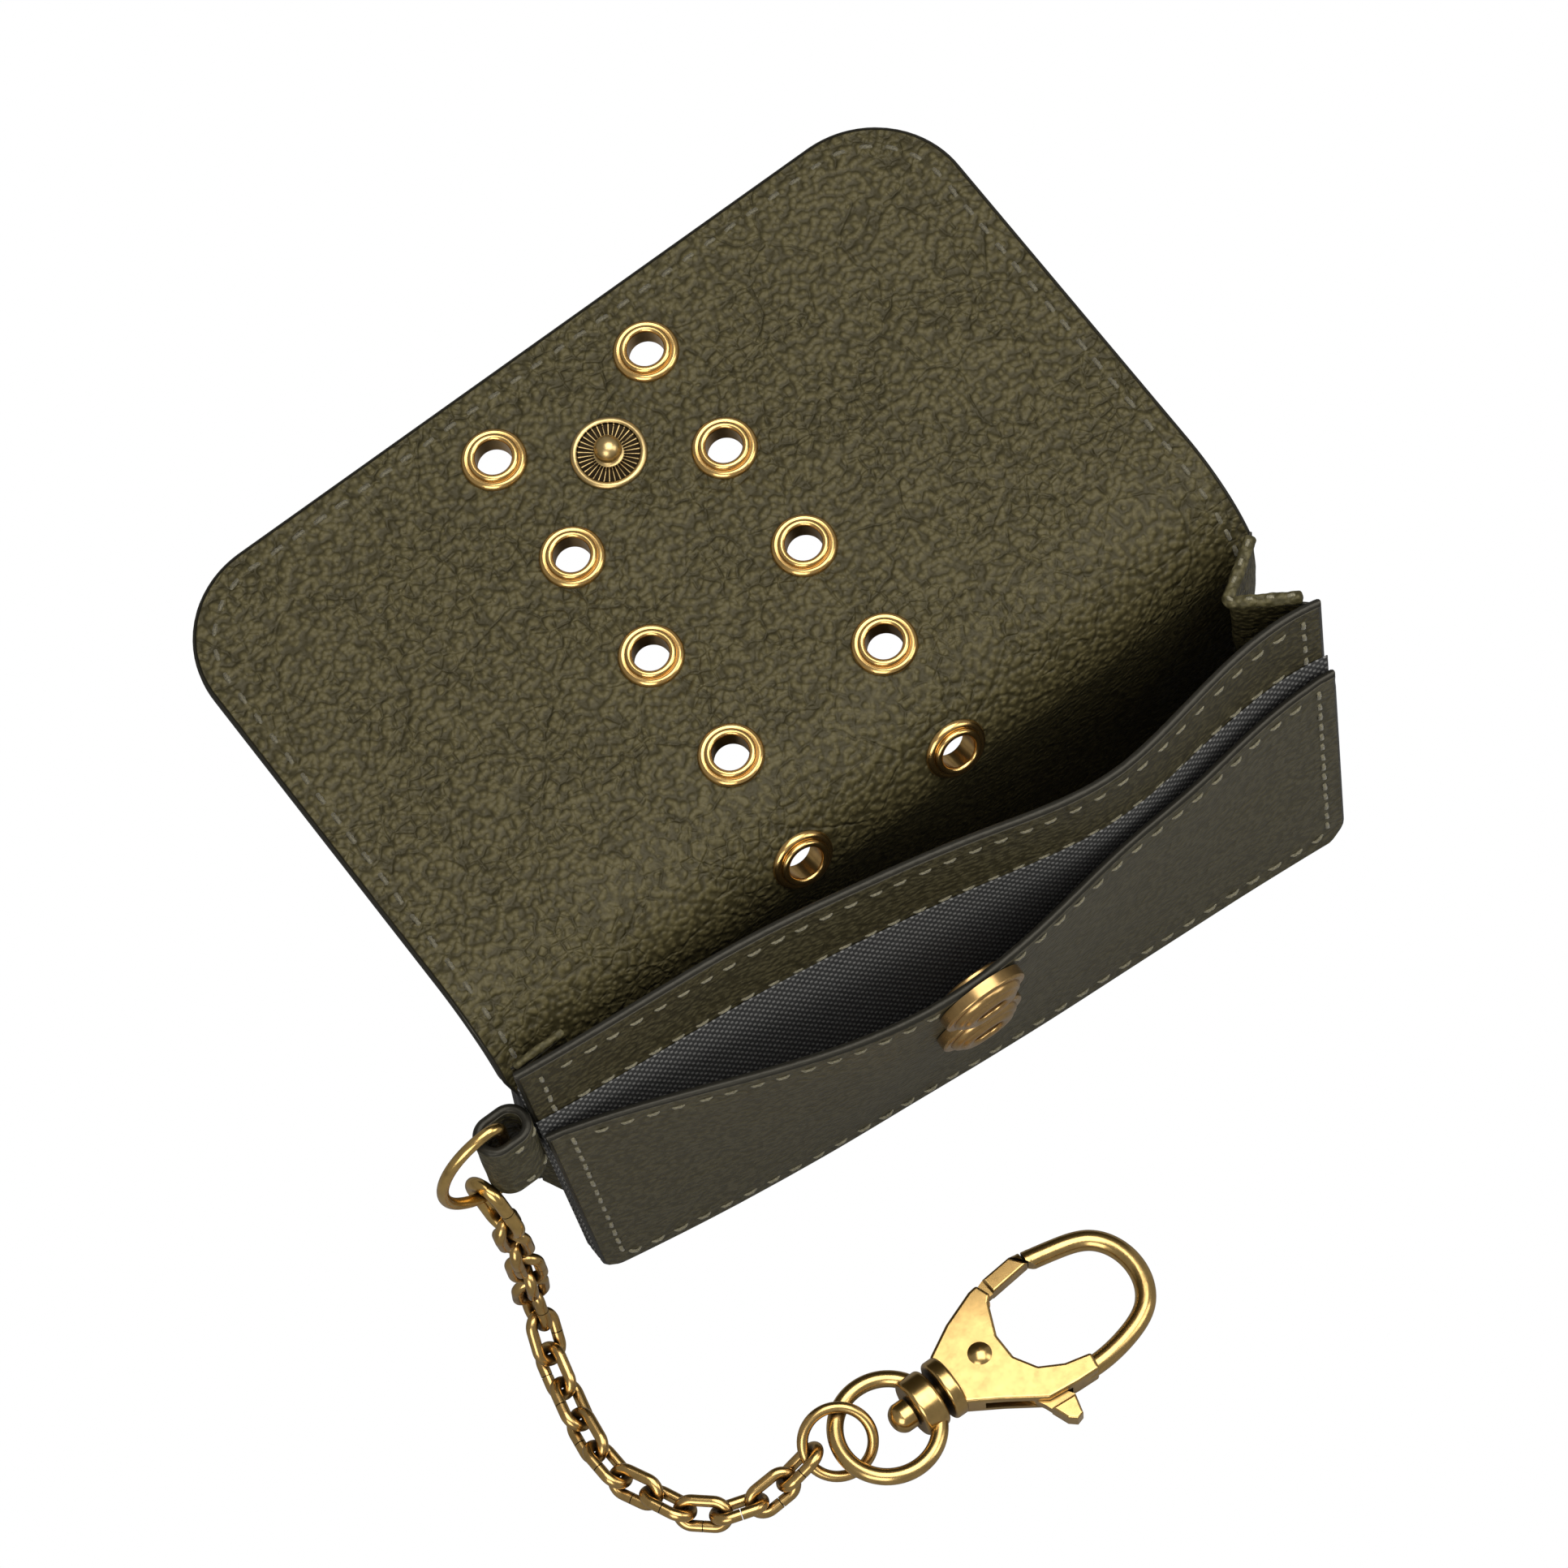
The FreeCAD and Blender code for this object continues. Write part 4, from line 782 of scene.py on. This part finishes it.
creases = [((0.0, 0.5 * MM, (BACK_TOP - 2.0) * MM), (0.0, 0.6 * MM, (BACK_TOP + 2.0) * MM)),
           (metre_point(math.radians(RISER_ANGLE - 8) * BEND_R), metre_point(math.radians(RISER_ANGLE + 8) * BEND_R)),
           (metre_point(ARC + SPINE_REACH - 1.7), metre_point(ARC + SPINE_REACH + 2.3))]
for sheet_name, depth, thickness, slot in (("facing", 0.0, FLAP_FACING, "facing_leather"),
                                           ("outer", FLAP_FACING + SEAM, FLAP_LEATHER, "outer_leather")):
    kinds = {"facing": ("back_lining", "riser_facing", "spine_facing", "flap_facing"),
             "outer": ("back_panel", "riser_leather", "spine_leather", "flap_leather")}[sheet_name]
    flap_length(f"back_{sheet_name}", FLOOR - BACK_TOP, CUT_ONE, depth, thickness, 61, slot, kinds[:2])
    flap_length(f"bend_{sheet_name}", CUT_ONE, CUT_TWO, depth, thickness, 61, slot, kinds[2:3])
    flap_length(f"flap_{sheet_name}_sheet", CUT_TWO, ARC + STRAIGHT, depth, thickness, 61, slot, kinds[3:])


def flap_row(name, run, top):
    """A row of stitches along (x, travel) places on the flap's upper or under face."""
    points, outward = [], []
    for x, travel in run:
        point, out = bend_point(travel, 0.0 if top else BACK_STACK)
        sign = 1 if top else -1
        points.append([x, point[0], point[1]])
        outward.append([0, out[0] * sign, out[1] * sign])
    row = sewn(stitches(name, points, outward), DARK_THREAD)
    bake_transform(row)


def side_stitches(name, start, stop, side, top):
    travels = np.linspace(start, stop, max(8, int((stop - start) / 1.2)))
    flap_row(name, [(side * (WIDTH / 2 - STITCH_LINE), travel) for travel in travels], top)


for top in (True, False):
    face_name = "top" if top else "under"
    for side in (-1, 1):
        tag = f"{face_name}_{'right' if side > 0 else 'left'}"
        side_stitches(f"riser_stitches_{tag}", 3.0, CUT_ONE, side, top)
        side_stitches(f"bend_stitches_{tag}", CUT_ONE + 0.2, CUT_TWO, side,
                      top)
    travels = np.linspace(CUT_TWO + 0.2, ARC + STRAIGHT - CORNER, 40)
    half, inset = WIDTH / 2, STITCH_LINE
    run = [(-(half - inset), travel) for travel in travels]
    turn = np.linspace(0, math.pi / 2, 16)[1:]
    end = ARC + STRAIGHT
    run += [(-(half - CORNER) - (CORNER - inset) * math.cos(a), end - CORNER + (CORNER - inset) * math.sin(a))
            for a in turn]
    run += [(x, end - inset) for x in np.linspace(-(half - CORNER), half - CORNER, 60)[1:]]
    run += [((half - CORNER) + (CORNER - inset) * math.sin(a), end - CORNER + (CORNER - inset) * math.cos(a))
            for a in turn]
    run += [(half - inset, travel) for travel in travels[::-1][1:]]
    flap_row(f"flap_stitches_{face_name}", run, top)
back_places = seam_places(FLOOR, BACK_TOP - 2.0, 2.7, FLOOR + 3.4)
points, outward = wall_line(back_face, back_places, BACK_STACK)
row = sewn(stitches("back_seam_stitches", points, -outward))
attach(row, "wallet")
print("flap made")

# %% [markdown]
# Each gusset is a strip of thin leather folded inwards like a bellows. Its upper edge is rolled over a cord and
# sewn, and that roll is a lighter leather.

# %% Gussets and bindings
def gusset_rows(side, levels):
    index = -1 if side > 0 else 0
    rows = []
    for z in levels:
        near = divider_face(z)[index] + LEATHER + LINING + PLAY
        far = back_face(z)[index] - FOLD_GAP
        head = min(1.0, z / BACK_TOP)
        fold = 2.0 + (7.6 - 2.0) * head
        edge, middle, half = half_width(z) - PLAY - foot_trim(z), (near + far) / 2, (far - near) / 2
        part = np.linspace(-1, 1, 61)
        soft = 1 - np.sqrt(part ** 2 + 0.006)
        x = side * (edge - fold * np.clip(soft, 0, 1) - 0.35 - 0.25 * np.cos(part * math.pi * 1.5) * head)
        y = middle + half * part
        rows.append(np.stack([x, y, np.full_like(x, z)], axis=1))
    return np.array(rows)


for side, tag in ((1, "right"), (-1, "left")):
    levels = spaced(67.5 - FLOOR, 1.4) + FLOOR
    surface = gusset_rows(side, levels)
    thin = 0.45 if side > 0 else 0.2
    edge = np.minimum(np.minimum(levels - FLOOR, 67.5 - levels)[:, None] * np.ones(61), 3.0)
    x, z = surface[..., 1], surface[..., 2]
    bump = smooth_noise(x * 2, z, 12.0, 71) * (0.10 if side > 0 else 0.02)
    obj = finished(sheet(f"gusset_strip_{tag}", surface, thin, edge, bump), "gusset_leather")
    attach(obj, "wallet")
    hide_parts(f"gusset_{tag}")


def roll(name, path, radius, flat=1.0):
    """A rolled leather edge along a path, slightly uneven along its length."""
    path = np.asarray(path, float)
    travelled = np.concatenate([[0], np.cumsum(np.linalg.norm(np.diff(path, axis=0), axis=1))])
    at = np.linspace(0, travelled[-1], int(travelled[-1] / 0.25))
    centre = np.stack([np.interp(at, travelled, path[:, k]) for k in range(3)], axis=1)
    kernel = np.ones(7) / 7
    for k in range(3):
        padded = np.pad(centre[:, k], 3, mode="edge")
        centre[:, k] = np.convolve(padded, kernel, "valid")
    ahead = np.gradient(centre, axis=0)
    ahead /= np.linalg.norm(ahead, axis=1, keepdims=True)
    up = np.array([0, 0, 1.0])
    side = np.cross(ahead, up)
    side /= np.linalg.norm(side, axis=1, keepdims=True)
    turn = np.linspace(0, 2 * math.pi, 20, endpoint=False)
    ends = np.minimum(at, travelled[-1] - at)
    taper = np.sqrt(np.clip(1 - (1 - np.clip(ends / radius, 0, 1)) ** 2, 0.02, 1))
    size = radius * taper * (1 + 0.05 * np.sin(at * 2.1) + 0.03 * np.sin(at * 5.3))
    ring = centre[:, None, :] + size[:, None, None] * (np.cos(turn)[None, :, None] * side[:, None, :]
                                                      + np.sin(turn)[None, :, None] * up * flat)
    rows, cols = len(at), len(turn)
    index = np.arange(rows * cols).reshape(rows, cols)
    faces = np.stack([index[:-1], index[1:], np.roll(index, -1, 1)[1:], np.roll(index, -1, 1)[:-1]], -1).reshape(-1, 4)
    faces = faces.tolist() + [index[0].tolist(), index[-1, ::-1].tolist()]
    rim = np.full(rows * cols, 5.0)
    return make_mesh(name, ring.reshape(-1, 3), faces, rim), centre


def binding_path(side):
    z = 67.5 + 0.85 if side > 0 else 67.5 + 0.55
    index = -1 if side > 0 else 0
    near = divider_face(67.5)[index] + LEATHER + LINING + PLAY
    far = back_face(67.5)[index] - FOLD_GAP
    edge, middle = half_width(67.5) - 0.8, (near + far) / 2
    if side > 0:
        return [(edge, near + 0.8, z), (edge - 7.6, middle, z), (edge, far - 0.8, z)]
    return [(-edge - 0.2, middle, z), (-edge + 7.4, middle, z)]


for side, tag in ((1, "right"), (-1, "left")):
    obj, line = roll(f"gusset_roll_{tag}", binding_path(side), 0.8 if side > 0 else 0.5)
    finished(obj, "binding_leather")
    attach(obj, "wallet")
    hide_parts(f"gusset_binding_{tag}")
    if side > 0:
        up = np.tile([0, 0, 1.0], (len(line), 1))
        row = sewn(stitches("gusset_roll_stitches", line + up * 0.78, up, pitch=2.6, length=1.5, radius=0.2, lift=0.03))
        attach(row, "wallet")
print("gussets made")

# %% [markdown]
# The tab is a strip of leather closed into an upright oval loop, with its cut edges painted and a row of
# stitches near its top and foot. The D-ring's bar runs through it.

# %% Ring tab
TAB_X, TAB_Y, TAB_Z, TAB_LONG, TAB_DEEP, TAB_TALL, TAB_SHEET = -58.08, -1.65, 50.75, 7.4, 5.4, 13.4, 1.2


def oval_line(inset, count=96):
    """Plan points round the tab's oval, at a distance inside its outer face."""
    radius, run = TAB_DEEP / 2 - inset, (TAB_LONG - TAB_DEEP) / 2
    total = 4 * run + 2 * math.pi * radius
    points = []
    for travelled in np.linspace(0, total, count, endpoint=False):
        if travelled < 2 * run:
            points.append((-run + travelled, -radius))
        elif travelled < 2 * run + math.pi * radius:
            a = (travelled - 2 * run) / radius
            points.append((run + radius * math.sin(a), -radius * math.cos(a)))
        elif travelled < 4 * run + math.pi * radius:
            points.append((run - (travelled - 2 * run - math.pi * radius), radius))
        else:
            a = (travelled - 4 * run - math.pi * radius) / radius
            points.append((-run - radius * math.sin(a), radius * math.cos(a)))
    return np.array(points)


tab_low, tab_high = TAB_Z - TAB_TALL / 2, TAB_Z + TAB_TALL / 2
levels = spaced(TAB_TALL, 0.7) + tab_low
rim_distance = np.minimum(levels - tab_low, tab_high - levels)
middle = oval_line(TAB_SHEET / 2)
middle = np.concatenate([middle, middle[:1]])
outward = np.gradient(middle, axis=0)
outward = np.stack([outward[:, 1], -outward[:, 0]], axis=1)
outward /= np.linalg.norm(outward, axis=1, keepdims=True)
outward[0] = outward[-1] = (outward[0] + outward[-1]) / 2
radius = TAB_SHEET / 2
half = radius * np.sqrt(np.maximum(1 - (1 - np.clip(rim_distance / radius, 0, 1)) ** 2, 0)) + 0.01
outer, inner = [], []
for z, thick in zip(levels, half):
    wave = 0.05 * math.sin(z * 0.9)
    outer.append(np.concatenate([middle[:-1] + outward[:-1] * (thick + wave * 0.5), np.full((96, 1), z)], axis=1))
    inner.append(np.concatenate([middle[:-1] - outward[:-1] * thick, np.full((96, 1), z)], axis=1))
rings = np.array(outer + inner[::-1])
rings[..., 0] += TAB_X
rings[..., 1] += TAB_Y
rows, cols = rings.shape[:2]
index = np.arange(rows * cols).reshape(rows, cols)
wrapped = np.concatenate([index, index[:1]])
ahead = np.roll(wrapped, -1, axis=1)
faces = np.stack([wrapped[:-1], ahead[:-1], ahead[1:], wrapped[1:]], axis=-1).reshape(-1, 4).tolist()
rim_values = np.repeat(np.concatenate([rim_distance, rim_distance[::-1]]), cols)
tab = finished(make_mesh("ring_loop", rings.reshape(-1, 3), faces, rim_values), "tab_leather")
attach(tab, "wallet")
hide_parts("ring_tab")
for number, z in enumerate((tab_low + 1.9, tab_high - 1.9)):
    line = np.array([(x + TAB_X, y + TAB_Y, z) for x, y in oval_line(0.0)[:52]])
    facing = np.array([(n[0], n[1], 0.0) for n in outward[:52]])
    row = sewn(stitches(f"tab_stitches_{number}", line, facing, pitch=2.5, length=1.9, radius=0.26, lift=0.06))
    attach(row, "wallet")
print("tab made")

# %% [markdown]
# A white table, a large soft key light from above and behind, a weaker fill from the front left, and a pale
# surround that the brass can mirror.

# %% Stage and light
floor_mesh = bpy.data.meshes.new("floor")
floor_mesh.from_pydata([(-3, -3, 0), (3, -3, 0), (3, 3, 0), (-3, 3, 0)], [], [(0, 1, 2, 3)])
floor = bpy.data.objects.new("floor", floor_mesh)
bpy.context.scene.collection.objects.link(floor)
floor.location.z = -0.0001
paper = bpy.data.materials.new("paper")
paper.use_nodes = True
tree = paper.node_tree
card = tree.nodes["Principled BSDF"]
card.inputs["Base Color"].default_value = (0.22, 0.22, 0.22, 1)
card.inputs["Roughness"].default_value = 0.9
glow = tree.nodes.new("ShaderNodeEmission")
glow.inputs["Strength"].default_value = 1.0
seen = tree.nodes.new("ShaderNodeLightPath")
choose = tree.nodes.new("ShaderNodeMixShader")
tree.links.new(seen.outputs["Is Camera Ray"], choose.inputs[0])
tree.links.new(card.outputs[0], choose.inputs[1])
tree.links.new(glow.outputs[0], choose.inputs[2])
tree.links.new(choose.outputs[0], tree.nodes["Material Output"].inputs["Surface"])
floor.data.materials.append(paper)


def area_light(name, place, aim, size, power):
    data = bpy.data.lights.new(name, "AREA")
    data.shape = "RECTANGLE"
    data.size, data.size_y = size
    data.energy = power
    light = bpy.data.objects.new(name, data)
    bpy.context.scene.collection.objects.link(light)
    light.location = place
    light.rotation_euler = (Vector(aim) - Vector(place)).to_track_quat("-Z", "Y").to_euler()
    return light


area_light("key", (0.20, -0.12, 1.0), (0, 0, 0.03), (0.9, 0.9), 10.5)
area_light("fill", (-0.7, -0.6, 0.6), (0, 0, 0.03), (0.6, 0.6), 4.5)
area_light("rim", (0.6, -0.5, 0.5), (0, 0, 0.03), (0.4, 0.4), 1.6)
world = bpy.data.worlds.new("studio")
bpy.context.scene.world = world
world.use_nodes = True
background = world.node_tree.nodes["Background"]
background.inputs["Color"].default_value = (1, 1, 1, 1)
background.inputs["Strength"].default_value = 0.30
print("lights set")

# %% [markdown]
# The camera is a long lens high on the wallet's front left, a little rolled.

# %% Camera
AZIMUTH, ELEVATION, ROLL, DISTANCE, LENS = 22.58, 67.5, -15.07, 1067.6, 205.36
AIM_RIGHT, AIM_UP = -0.01605, 0.01416
TARGET = Vector((0.0, -4.25, 40.0))
a, e, r = (math.radians(value) for value in (AZIMUTH, ELEVATION, ROLL))
forward = Vector((math.sin(a) * math.cos(e), math.cos(a) * math.cos(e), -math.sin(e)))
level = Vector((math.cos(a), -math.sin(a), 0.0))
above = level.cross(forward)
right = level * math.cos(r) + above * math.sin(r)
top = above * math.cos(r) - level * math.sin(r)
place = TARGET - forward * DISTANCE
aim = (forward + right * AIM_RIGHT + top * AIM_UP).normalized()
right = (right - aim * right.dot(aim)).normalized()
top = right.cross(aim)
camera_data = bpy.data.cameras.new("camera")
camera_data.sensor_width = 36.0
camera_data.lens = LENS
camera_data.clip_start = 0.01
camera = bpy.data.objects.new("camera", camera_data)
bpy.context.scene.collection.objects.link(camera)
camera.matrix_world = Matrix((right, top, -aim)).transposed().to_4x4()
camera.location = place * MM
bpy.context.scene.camera = camera
scene = bpy.context.scene
scene.view_settings.view_transform = "Standard"
print("camera at", [round(value, 4) for value in camera.location])
